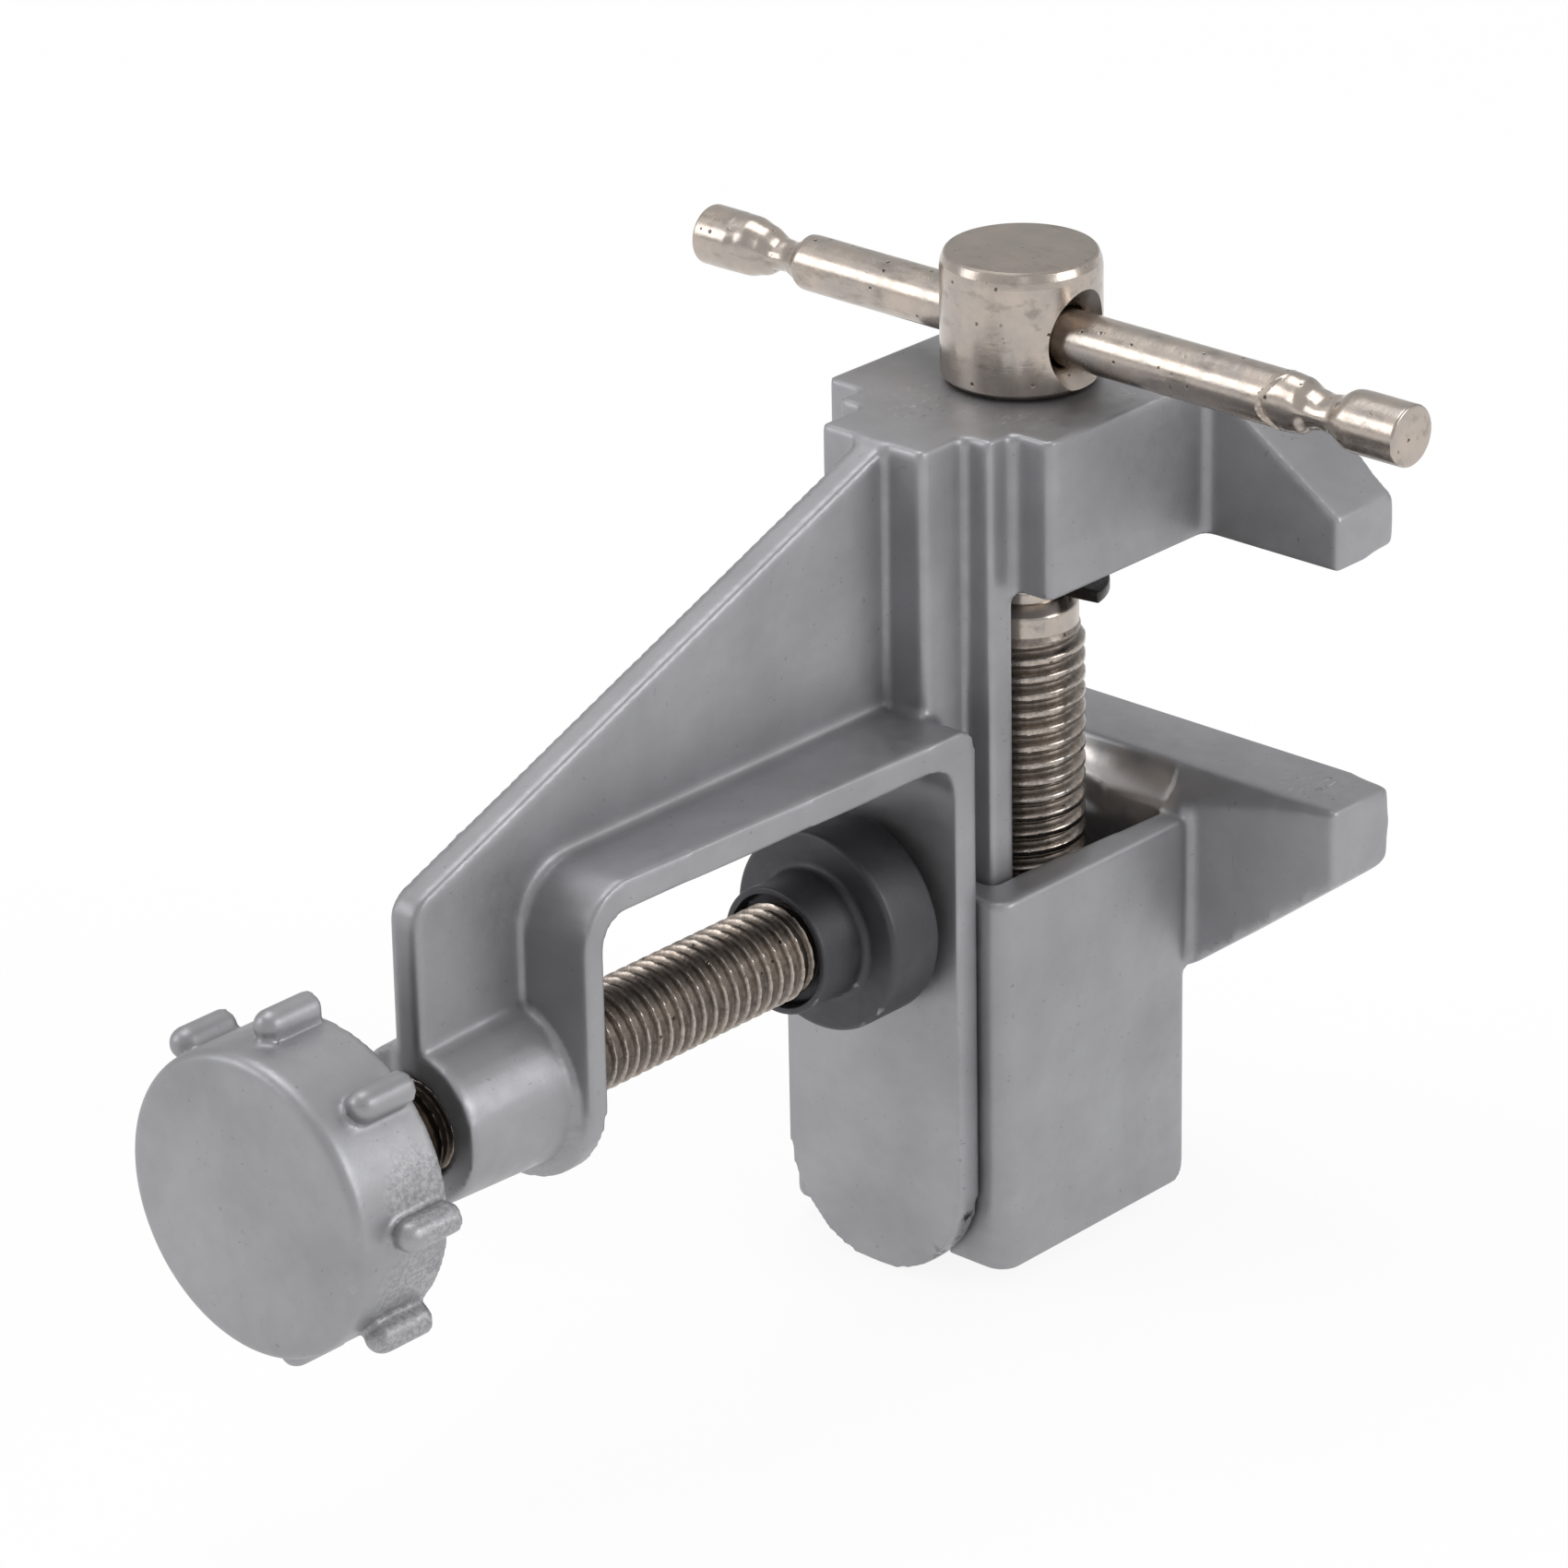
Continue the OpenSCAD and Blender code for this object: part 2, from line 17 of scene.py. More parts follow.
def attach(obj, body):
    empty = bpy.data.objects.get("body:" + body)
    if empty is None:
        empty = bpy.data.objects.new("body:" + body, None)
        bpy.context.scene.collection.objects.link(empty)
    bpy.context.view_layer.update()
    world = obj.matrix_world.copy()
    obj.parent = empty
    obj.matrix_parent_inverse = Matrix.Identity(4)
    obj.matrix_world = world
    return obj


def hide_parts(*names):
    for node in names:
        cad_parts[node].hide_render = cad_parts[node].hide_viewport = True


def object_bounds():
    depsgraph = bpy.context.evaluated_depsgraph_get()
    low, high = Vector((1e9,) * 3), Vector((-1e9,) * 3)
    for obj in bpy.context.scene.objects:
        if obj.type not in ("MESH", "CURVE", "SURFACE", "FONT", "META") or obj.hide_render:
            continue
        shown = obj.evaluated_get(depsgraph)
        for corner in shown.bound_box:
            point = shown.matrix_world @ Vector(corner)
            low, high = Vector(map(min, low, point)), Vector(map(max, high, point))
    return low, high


bl_info = {
    "name": "Clamp-on table vise",
    "version": (1, 0, 0),
    "blender": (4, 5, 0),
    "location": "3D View > Sidebar > Vise",
    "description": "Builds the visible pieces of a small clamp-on table vise on its packed frame",
    "category": "Object",
}

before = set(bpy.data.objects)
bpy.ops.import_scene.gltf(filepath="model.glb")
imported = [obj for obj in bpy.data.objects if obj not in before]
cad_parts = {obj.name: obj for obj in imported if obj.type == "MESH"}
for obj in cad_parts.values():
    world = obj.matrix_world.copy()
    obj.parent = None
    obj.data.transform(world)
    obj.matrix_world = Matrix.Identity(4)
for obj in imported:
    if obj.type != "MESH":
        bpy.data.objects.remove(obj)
cad_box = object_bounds()

MM = 0.001

# Where things stand, in millimetres: X from the knob to the jaws, Z up along the main screw
SCREW_X = 18.8
HOLE_Z = 43.6
HEAD_Z = (39.35, 49.85)
HEAD_R = 6.45
HOLE_R = 2.38
CLIP_Z = (21.15, 22.2)
COLLAR_Z = 18.65
THREAD_END_Z = -26.8
KNOB_REAR_X = -59.7
SHOULDER_X = -9.95
BAR_TILT = math.radians(0.3)
BAR_Y = (-38.5, 33.0)
JAW_FRONT_X = 35.2
JAW_TIP_Y = 24.8
UPPER_TIP_Z = (26.0, 30.5)
LOWER_TIP_Z = (-1.0, 5.6)

# How far from a worn corner its rounding reaches, in millimetres, and how many times it is smoothed
WORN_REACH = 4.0
WORN_PASSES = 30

# Points of a mesh that lie closer than this are one point
WELD = 0.0005 * MM

# Facets around the screws
SCREW_FACETS = 96

# The depth mark that a thread's crest has; plain metal has 0 and a root has 1
CREST_MARK = 0.04

# The photograph's camera: where it looks, from how far in millimetres, and how it is turned in degrees
LOOK_AT = (-9.77, 0.04, 13.74)
CAMERA_AZIMUTH, CAMERA_ELEVATION, CAMERA_ROLL = -47.46, 23.63, -1.14
CAMERA_DISTANCE = 550.0
CAMERA_LENS = 163.07
CAMERA_SENSOR = 36

WHITE = (1.0, 1.0, 1.0, 1.0)
ALONG_X = Matrix.Rotation(math.radians(90), 4, "Y")
ALONG_Y = Matrix.Rotation(math.radians(-90), 4, "X")


def linear(red, green, blue):
    """A colour written as it looks on a screen, 0 to 255, as the linear colour that shaders take."""
    out = []
    for part in (red, green, blue):
        share = part / 255
        out.append(share / 12.92 if share <= 0.04045 else ((share + 0.055) / 1.055) ** 2.4)
    return (*out, 1.0)


# Colours of marks and wear, and of painted highlights and a painted shadow
# Bare metal of worn edges, also standing for a painted highlight along the edges
BARE_EDGE_AND_HIGHLIGHT = linear(196, 194, 192)
DUST = linear(96, 94, 94)
GRIT = (linear(112, 112, 114), linear(205, 205, 206))
SCUFF = linear(200, 197, 194)
RUB = linear(98, 90, 84)
# Painted highlight tinted into the polished slope of the sliding jaw
PAINTED_HIGHLIGHT = linear(214, 209, 207)
CHIP = linear(30, 28, 27)
# Painted shadow on the clamp screw's thread between knob and boss
PAINTED_SHADOW = linear(22, 18, 15)
TURNED_FACE = linear(146, 137, 128)
OXIDE_FILM = linear(46, 43, 41)
OXIDE_RUB = linear(110, 102, 95)


class ViseSizes(bpy.types.PropertyGroup):
    """Sizes of the visible detail."""

    cast_grain: FloatProperty(
        name="Cast grain",
        description="Size of the facets that the castings' rounded skin is made of",
        default=0.38 * MM, min=0.3 * MM, max=1.0 * MM, unit="LENGTH", precision=5,
    )
    cast_softness: IntProperty(
        name="Edge softness",
        description="How far the edges and inner corners of the castings are rounded",
        default=3, min=1, max=30,
    )
    knob_grain: FloatProperty(
        name="Knob grain",
        description="Size of the facets of the knob's skin",
        default=0.26 * MM, min=0.2 * MM, max=0.6 * MM, unit="LENGTH", precision=5,
    )
    main_pitch: FloatProperty(
        name="Main thread pitch",
        description="Pitch of the main screw's thread",
        default=1.5 * MM, min=1.0 * MM, max=2.0 * MM, unit="LENGTH", precision=5,
    )
    main_radius: FloatProperty(
        name="Main thread radius",
        description="Radius over the crests of the main screw's thread",
        default=5.0 * MM, min=4.0 * MM, max=5.3 * MM, unit="LENGTH", precision=5,
    )
    clamp_pitch: FloatProperty(
        name="Clamp thread pitch",
        description="Pitch of the clamp screw's thread",
        default=1.25 * MM, min=0.8 * MM, max=1.75 * MM, unit="LENGTH", precision=5,
    )
    clamp_radius: FloatProperty(
        name="Clamp thread radius",
        description="Radius over the crests of the clamp screw's thread",
        default=4.0 * MM, min=3.4 * MM, max=4.4 * MM, unit="LENGTH", precision=5,
    )
    bar_radius: FloatProperty(
        name="Handle radius",
        description="Radius of the plain middle of the handle bar",
        default=2.3 * MM, min=1.8 * MM, max=2.38 * MM, unit="LENGTH", precision=5,
    )


class ViseColours(bpy.types.PropertyGroup):
    """Colours of the finishes."""

    paint: FloatVectorProperty(
        name="Casting paint", description="Satin grey of the castings",
        subtype="COLOR", size=4, min=0, max=1, default=linear(158, 158, 161),
    )
    # Darker than the castings' paint: partly the pad's own grey, partly painted shade
    pad_grey_with_shade: FloatVectorProperty(
        name="Pad", description="Dark grey of the pad",
        subtype="COLOR", size=4, min=0, max=1, default=linear(78, 77, 80),
    )
    steel: FloatVectorProperty(
        name="Plated steel", description="Warm grey of the plated screws and handle",
        subtype="COLOR", size=4, min=0, max=1, default=linear(188, 180, 173),
    )
    stain: FloatVectorProperty(
        name="Stain", description="Brown film in the thread's roots and in the pits",
        subtype="COLOR", size=4, min=0, max=1, default=linear(60, 49, 40),
    )
    clip: FloatVectorProperty(
        name="Clip", description="Black oxide of the retaining clip",
        subtype="COLOR", size=4, min=0, max=1, default=linear(26, 26, 27),
    )
    floor: FloatVectorProperty(
        name="Floor", description="Colour of the floor that the vise stands on",
        subtype="COLOR", size=4, min=0, max=1, default=(0.92, 0.92, 0.92, 1.0),
    )


def sizes():
    return bpy.context.scene.vise_sizes


def colours():
    return bpy.context.scene.vise_colours


def shade(colour, *factors):
    """A colour with its parts multiplied, by one factor or by one for each."""
    factors = factors * 3 if len(factors) == 1 else factors
    return (*(min(1.0, part * factor) for part, factor in zip(colour[:3], factors)), 1.0)


class Sheet:
    """A material's node sheet, with short ways to add and join nodes."""

    def __init__(self, name):
        self.material = bpy.data.materials.new(name)
        self.material.use_nodes = True
        self.tree = self.material.node_tree
        self.tree.nodes.clear()
        self.output = self.tree.nodes.new("ShaderNodeOutputMaterial")
        self.place = self.add("ShaderNodeTexCoord").outputs["Object"]

    def add(self, kind, inputs=None, **settings):
        node = self.tree.nodes.new(kind)
        for key, value in settings.items():
            setattr(node, key, value)
        for key, value in (inputs or {}).items():
            self.put(node.inputs[key], value)
        return node

    def put(self, socket, value):
        if isinstance(value, bpy.types.NodeSocket):
            self.tree.links.new(value, socket)
        else:
            socket.default_value = value

    def noise(self, per_mm, detail=3.0, roughness=0.55, stretch=None, warp=0.0):
        where = self.place
        if stretch:
            where = self.add("ShaderNodeMapping", {"Vector": where, "Scale": stretch}).outputs[0]
        node = self.add(
            "ShaderNodeTexNoise",
            {"Vector": where, "Scale": per_mm / MM, "Detail": detail,
             "Roughness": roughness, "Distortion": warp},
        )
        return node.outputs["Fac"]

    def span(self, value, low, high, to_low=0.0, to_high=1.0, smooth=False):
        """A value as a share of the way from low to high, or between two other limits."""
        node = self.add(
            "ShaderNodeMapRange",
            {"Value": value, "From Min": low, "From Max": high, "To Min": to_low, "To Max": to_high},
            interpolation_type="SMOOTHSTEP" if smooth else "LINEAR",
        )
        return node.outputs["Result"]

    def patches(self, per_mm, low, high, **texture):
        """Patches of noise: 0 where its value is under low, 1 where it is over high."""
        return self.span(self.noise(per_mm, **texture), low, high)

    def pits(self, per_mm, rim, floor):
        """1 on the floor of round pits, falling to 0 at their rim."""
        cells = self.add("ShaderNodeTexVoronoi", {"Vector": self.place, "Scale": per_mm / MM})
        return self.span(cells.outputs["Distance"], rim, floor)

    def roughness(self, limits, per_mm, detail):
        """A roughness that wanders between two limits."""
        return self.span(self.noise(per_mm, detail=detail), 0.3, 0.7, *limits)

    def maths(self, kind, one, two=0.0):
        return self.add("ShaderNodeMath", {0: one, 1: two}, operation=kind).outputs[0]

    def times(self, one, two):
        return self.maths("MULTIPLY", one, two)

    def blend(self, share, one, two):
        node = self.add("ShaderNodeMix", data_type="RGBA", blend_type="MIX")
        self.put(node.inputs["Factor"], share)
        self.put(node.inputs[6], one)
        self.put(node.inputs[7], two)
        return node.outputs[2]

    def tint(self, tone, colour, share, strength):
        """A tone with a colour laid over it where the share is high."""
        return self.blend(self.times(share, strength), tone, colour)

    def near(self, spots, soft=0.35):
        """1 near any of the places (x, y, z, radius in mm), falling to 0 at its radius."""
        total = None
        for x, y, z, radius in spots:
            gap = self.add(
                "ShaderNodeVectorMath", {0: self.place, 1: (x * MM, y * MM, z * MM)},
                operation="DISTANCE",
            ).outputs["Value"]
            share = self.span(gap, radius * MM, radius * MM * soft, smooth=True)
            total = share if total is None else self.maths("MAXIMUM", total, share)
        return total

    def axis(self, name):
        """The place along X, Y or Z, in metres."""
        return self.add("ShaderNodeSeparateXYZ", {0: self.place}).outputs[name]

    def pointiness(self):
        """0.5 on flat metal, more on outer edges and less in inner corners."""
        return self.add("ShaderNodeNewGeometry").outputs["Pointiness"]

    def bump(self, height, depth_mm, strength, under=None):
        inputs = {"Height": height, "Distance": depth_mm * MM, "Strength": strength}
        if under is not None:
            inputs["Normal"] = under
        return self.add("ShaderNodeBump", inputs).outputs[0]

    def finish(self, inputs):
        shader = self.add("ShaderNodeBsdfPrincipled", inputs)
        self.tree.links.new(shader.outputs[0], self.output.inputs["Surface"])
        return self.material


def cast_paint(name, colour, chips=(), scuffs=(), polished_with_painted_highlight=(), rough=(0.4, 0.5), speckle=None):
    """Satin grey finish of a casting: mottling, fine skin, edges lighter with wear and a painted highlight,
    painted shade in inner corners, chips, scuffs, and polished spots with a painted highlight.

    speckle gives, for the sheet, how strongly the finish is speckled at each place.
    """
    sheet = Sheet(name)
    base = tuple(colour)
    mottle = sheet.patches(0.09, 0.35, 0.65, detail=4)
    tone = sheet.blend(mottle, shade(base, 0.9), shade(base, 1.08))
    edge = sheet.pointiness()
    # Edges, where pointiness is high, are lightened in patches: worn bare metal and a painted highlight
    worn = sheet.times(sheet.span(edge, 0.53, 0.62, smooth=True), sheet.patches(0.5, 0.4, 0.62, detail=3))
    tone = sheet.tint(tone, BARE_EDGE_AND_HIGHLIGHT, worn, 0.45)
    # Painted shade: inner corners, where pointiness is low, are darkened towards a dark copy of the paint
    corner = sheet.span(edge, 0.49, 0.44, smooth=True)
    tone = sheet.tint(tone, shade(base, 0.4), corner, 0.75)
    tone = sheet.tint(tone, DUST, sheet.patches(1.9, 0.69, 0.75, detail=2), 0.35)
    if speckle:
        grit = sheet.blend(sheet.patches(2.6, 0.42, 0.6, detail=4, roughness=0.7), *GRIT)
        tone = sheet.blend(speckle(sheet), tone, grit)
    rough_map = sheet.roughness(rough, 0.7, detail=3)
    if scuffs:
        where = sheet.near(scuffs)
        lines = sheet.patches(0.9, 0.58, 0.66, detail=6, roughness=0.62, stretch=(0.7, 1.9, 1.0), warp=1.6)
        tone = sheet.tint(tone, SCUFF, sheet.times(lines, where), 0.6)
        rub = sheet.patches(1.3, 0.6, 0.66, detail=5, roughness=0.65, warp=0.9)
        tone = sheet.tint(tone, RUB, sheet.times(rub, where), 0.5)
    if polished_with_painted_highlight:
        # Polished spots: lower roughness, and a painted highlight tinted into the colour
        polish_and_painted_highlight = sheet.near(polished_with_painted_highlight, soft=0.6)
        tone = sheet.tint(tone, PAINTED_HIGHLIGHT, polish_and_painted_highlight, 0.8)
        rough_map = sheet.maths("SUBTRACT", rough_map, sheet.times(polish_and_painted_highlight, 0.12))
    if chips:
        ragged = sheet.patches(1.4, 0.53, 0.57, detail=4, roughness=0.7)
        tone = sheet.blend(sheet.times(ragged, sheet.near(chips, soft=0.15)), tone, CHIP)
    wave = sheet.bump(sheet.noise(0.14, detail=2), 0.16, 0.35)
    skin = sheet.bump(sheet.noise(3.2, detail=3, roughness=0.6), 0.022, 0.5, wave)
    return sheet.finish({
        "Base Color": tone, "Metallic": 0.8, "Roughness": rough_map, "Normal": skin,
    })


def plated_steel(name, rough=(0.16, 0.28), rings_along=None, dirt=None, painted_shadow_spots=(), turned_above=None):
    """Nickel-plated steel: brown pits and film, turning rings, grime in thread roots and a painted shadow at
    given places.

    dirt is the strength of that grime, the places of the painted shadow are given as Sheet.near takes them,
    and the metal above the height turned_above (in mm) is a turned face.
    """
    sheet = Sheet(name)
    base, stain = tuple(colours().steel), tuple(colours().stain)
    cloud = sheet.patches(0.32, 0.36, 0.66, detail=5, roughness=0.6)
    tone = sheet.blend(cloud, shade(base, 0.84), shade(base, 1.05, 1.0, 0.95))
    smear = sheet.patches(0.8, 0.56, 0.72, detail=4, stretch=(1.0, 0.4, 1.0))
    tone = sheet.tint(tone, stain, smear, 0.35)
    pits = sheet.times(sheet.pits(0.85, 0.16, 0.1), sheet.patches(0.35, 0.5, 0.58, detail=2))
    tone = sheet.tint(tone, stain, pits, 0.85)
    rough_map = sheet.roughness(rough, 0.9, detail=4)
    height = sheet.noise(2.4, detail=4, roughness=0.65)
    if painted_shadow_spots:
        # Painted shadow: the metal near the given places is darkened almost to black
        tone = sheet.tint(tone, PAINTED_SHADOW, sheet.near(painted_shadow_spots, soft=0.75), 0.92)
    if dirt:
        depth = sheet.add("ShaderNodeAttribute", attribute_name="root").outputs["Fac"]
        threaded = sheet.span(depth, 0.0, CREST_MARK)
        fleck = sheet.patches(2.2, 0.42, 0.6, detail=5, roughness=0.75)
        tone = sheet.tint(tone, stain, sheet.times(threaded, fleck), 0.35)
        tone = sheet.tint(tone, stain, sheet.span(depth, 0.06, 0.6), dirt)
        grit = sheet.times(sheet.noise(3.6, detail=4, roughness=0.7), 1.4)
        height = sheet.maths("ADD", height, sheet.times(grit, threaded))
        rough_map = sheet.maths("ADD", rough_map, sheet.span(depth, 0.4, 1.0, 0.0, 0.3))
    if turned_above is not None:
        flat = sheet.span(sheet.axis("Z"), turned_above * MM, (turned_above + 0.06) * MM)
        tone = sheet.tint(tone, TURNED_FACE, flat, 0.55)
        rough_map = sheet.maths("ADD", rough_map, sheet.times(flat, 0.16))
    normal = sheet.bump(height, 0.02, 0.5)
    if rings_along:
        rings = sheet.noise(1.0, detail=2, stretch=rings_along)
        normal = sheet.bump(rings, 0.012, 0.35, normal)
    normal = sheet.bump(sheet.maths("SUBTRACT", 1.0, pits), 0.05, 0.8, normal)
    return sheet.finish({
        "Base Color": tone, "Metallic": 1.0, "Roughness": rough_map, "Normal": normal,
    })


def black_oxide(name):
    """Spring steel blackened in oil, with a brown rub on its edges."""
    sheet = Sheet(name)
    film = sheet.patches(1.1, 0.4, 0.7, detail=4)
    tone = sheet.blend(film, tuple(colours().clip), OXIDE_FILM)
    tone = sheet.tint(tone, OXIDE_RUB, sheet.span(sheet.pointiness(), 0.52, 0.6), 0.5)
    return sheet.finish({
        "Base Color": tone, "Metallic": 0.7,
        "Roughness": sheet.roughness((0.24, 0.42), 1.6, detail=3),
        "Normal": sheet.bump(sheet.noise(3.0, detail=3), 0.02, 0.5),
    })


def show(name, mesh, material, body, replaced):
    """A new visible piece, riding on a body of the frame and standing for one of its nodes."""
    piece = bpy.data.objects.new(name, mesh)
    bpy.context.scene.collection.objects.link(piece)
    mesh.materials.clear()
    mesh.materials.append(material)
    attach(piece, body)
    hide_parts(replaced)
    return piece


def settle(piece):
    """Turns a piece's modifiers into its own mesh."""
    graph = bpy.context.evaluated_depsgraph_get()
    made = bpy.data.meshes.new_from_object(piece.evaluated_get(graph))
    materials = list(piece.data.materials)
    piece.modifiers.clear()
    piece.data = made
    made.materials.clear()
    for material in materials:
        made.materials.append(material)
    return made


def points_of(mesh):
    """A mesh's points in millimetres, one row each."""
    points = np.empty(len(mesh.vertices) * 3)
    mesh.vertices.foreach_get("co", points)
    return points.reshape(-1, 3) / MM


def welded_copy(node, name):
    """A copy of a node's mesh with its split corners joined again."""
    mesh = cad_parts[node].data.copy()
    mesh.name = name
    work = bmesh.new()
    work.from_mesh(mesh)
    bmesh.ops.remove_doubles(work, verts=work.verts, dist=WELD)
    bmesh.ops.dissolve_degenerate(work, dist=WELD, edges=work.edges)
    bmesh.ops.recalc_face_normals(work, faces=work.faces)
    work.to_mesh(mesh)
    work.free()
    if mesh.has_custom_normals:
        mesh.normals_split_custom_set([(0.0, 0.0, 0.0)] * len(mesh.loops))
    return mesh


def cast_skin(piece, grain, softness, worn=()):
    """Gives a sharp solid the rounded edges and filled inner corners of a casting.

    worn holds the places (x, y, z in mm) of corners that are rounded further.
    """
    remesh = piece.modifiers.new("Skin", "REMESH")
    remesh.mode = "VOXEL"
    remesh.voxel_size = grain
    remesh.use_smooth_shade = True
    soften = piece.modifiers.new("Soften", "SMOOTH")
    soften.factor = 0.5
    soften.iterations = softness
    mesh = settle(piece)
    if worn:
        points = points_of(mesh)
        away = np.min([np.linalg.norm(points - np.array(spot), axis=1) for spot in worn], axis=0)
        share = np.clip((WORN_REACH - away) / (WORN_REACH * 0.5), 0, 1)
        group = piece.vertex_groups.new(name="worn")
        for i in np.flatnonzero(share):
            group.add([int(i)], float(share[i]), "REPLACE")
        rub = piece.modifiers.new("Rub", "SMOOTH")
        rub.factor = 0.5
        rub.iterations = WORN_PASSES
        rub.vertex_group = group.name
        mesh = settle(piece)
        piece.vertex_groups.clear()
    mesh.shade_smooth()


def front_corners(tip_z):
    """The front corners of both tips of a jaw, between two heights."""
    return [(JAW_FRONT_X, y, z) for y in (-JAW_TIP_Y, JAW_TIP_Y) for z in tip_z]


def closed_mesh(name, verts, faces, matrix=None, weld=False):
    """A mesh from points in metres, with its faces turned outwards."""
    mesh = bpy.data.meshes.new(name)
    mesh.from_pydata(verts, [], faces)
    if matrix is not None:
        mesh.transform(matrix)
    mesh.validate()
    work = bmesh.new()
    work.from_mesh(mesh)
    if weld:
        bmesh.ops.remove_doubles(work, verts=work.verts, dist=WELD)
    bmesh.ops.recalc_face_normals(work, faces=work.faces)
    work.to_mesh(mesh)
    work.free()
    return mesh


def circle_of(count):
    """The cosine and sine of evenly spaced angles, and the angles."""
    angles = np.arange(count) * 2 * math.pi / count
    return np.cos(angles), np.sin(angles), angles


def fillet(points, steps=5):
    """A line of (radius, height, rounding) points with its corners rounded, as (radius, height)."""
    out = []
    for i, (r, h, rounding) in enumerate(points):
        if rounding <= 0 or i == 0 or i == len(points) - 1:
            out.append((r, h))
            continue
        here = np.array([r, h])
        back = np.array(points[i - 1][:2]) - here
        ahead = np.array(points[i + 1][:2]) - here
        back_len, ahead_len = np.linalg.norm(back), np.linalg.norm(ahead)
        back, ahead = back / back_len, ahead / ahead_len
        half = math.acos(max(-1.0, min(1.0, float(back @ ahead)))) / 2
        reach = min(rounding / math.tan(half), back_len * 0.49, ahead_len * 0.49)
        start, end = here + back * reach, here + ahead * reach
        for k in range(steps + 1):
            t = k / steps
            out.append(tuple((1 - t) ** 2 * start + 2 * t * (1 - t) * here + t * t * end))
    return out


def turned(name, rows, around, matrix):
    """A closed turned mesh from rows of (radius or radii, height); radius 0 is a point on the axis."""
    cos, sin, _ = circle_of(around)
    verts, faces, rings = [], [], []
    for radius, height in rows:
        start = len(verts)
        if np.ndim(radius) == 0 and radius == 0:
            verts.append((0.0, 0.0, height))
            rings.append((start, 1))
        else:
            r = np.broadcast_to(radius, (around,))
            verts.extend(zip(r * cos, r * sin, np.broadcast_to(height, (around,))))
            rings.append((start, around))
    for (a, a_count), (b, b_count) in zip(rings[:-1], rings[1:]):
        for k in range(around):
            n = (k + 1) % around
            if a_count == 1:
                faces.append((a, b + n, b + k))
            elif b_count == 1:
                faces.append((a + k, a + n, b))
            else:
                faces.append((a + k, a + n, b + n, b + k))
    return closed_mesh(name, [tuple(float(c) * MM for c in v) for v in verts], faces, matrix)


def turned_ring(name, outline, around, matrix):
    """A closed ring turned from a closed outline of (radius, height)."""
    outline = outline[:-1]
    cos, sin, _ = circle_of(around)
    verts = [(r * c * MM, r * s * MM, h * MM) for r, h in outline for c, s in zip(cos, sin)]
    count, faces = len(outline), []
    for i in range(count):
        j = (i + 1) % count
        for k in range(around):
            n = (k + 1) % around
            faces.append((i * around + k, i * around + n, j * around + n, j * around + k))
    return closed_mesh(name, verts, faces, matrix, weld=True)


def prism(name, outline, low, high):
    """A solid with an outline of (x, z) in mm, from one Y to another."""
    verts = [(x * MM, y * MM, z * MM) for y in (low, high) for x, z in outline]
    count = len(outline)
    faces = [tuple(range(count)), tuple(range(2 * count - 1, count - 1, -1))]
    for i in range(count):
        n = (i + 1) % count
        faces.append((i, i + count, n + count, n))
    return closed_mesh(name, verts, faces)


def thread_rows(radius, root_r, pitch, start, end, fades, around, crest, root, per_turn):
    """Rows of a right-handed rolled thread that fades to given radii at its ends.

    crest and root are the flat shares of a pitch, per_turn is the count of rows in a pitch.
    """
    angles = circle_of(around)[2]
    fade_length = pitch * 0.9
    rows = []
    count = int(round((end - start) / pitch * per_turn))
    for i in range(count + 1):
        height = start + (end - start) * i / count
        phase = (height / pitch - angles / (2 * math.pi)) % 1.0
        off = np.abs(phase - 0.5) * 2
        rise = np.clip((1 - root - off) / (1 - root - crest), 0, 1)
        rise = 0.4 * rise + 0.6 * rise * rise * (3 - 2 * rise)
        r = root_r + (radius - root_r) * rise
        low = min(1.0, max(0.0, (height - start) / fade_length))
        high = min(1.0, max(0.0, (end - height) / fade_length))
        r = fades[0] + (r - fades[0]) * low
        r = fades[1] + (r - fades[1]) * high
        rows.append((r, height))
    return rows


def mark_roots(mesh, axis_point, axis, crest_r, root_r, low, high):
    """Writes, at each point between two heights along the axis, how deep in the thread it lies."""
    from_axis = points_of(mesh) - np.array(axis_point)
    along = from_axis @ np.array(axis)
    away = np.linalg.norm(from_axis - along[:, None] * np.array(axis), axis=1)
    depth = np.clip((crest_r - away) / (crest_r - root_r), CREST_MARK, 1)
    depth[(along < low) | (along > high)] = 0
    layer = mesh.attributes.new("root", "FLOAT", "POINT")
    layer.data.foreach_set("value", depth.astype(np.float32))


def carve(piece, cutter_mesh):
    """Takes the cutter's volume out of a piece."""
    cutter = bpy.data.objects.new("cutter", cutter_mesh)
    bpy.context.scene.collection.objects.link(cutter)
    cut = piece.modifiers.new("Cut", "BOOLEAN")
    cut.operation = "DIFFERENCE"
    cut.solver = "EXACT"
    cut.object = cutter
    bpy.context.view_layer.update()
    mesh = settle(piece)
    bpy.data.objects.remove(cutter)
    return mesh


def smooth_to(mesh, degrees):
    """Smooth shading that stays sharp at edges over an angle."""
    mesh.shade_smooth()
    mesh.set_sharp_from_angle(angle=math.radians(degrees))


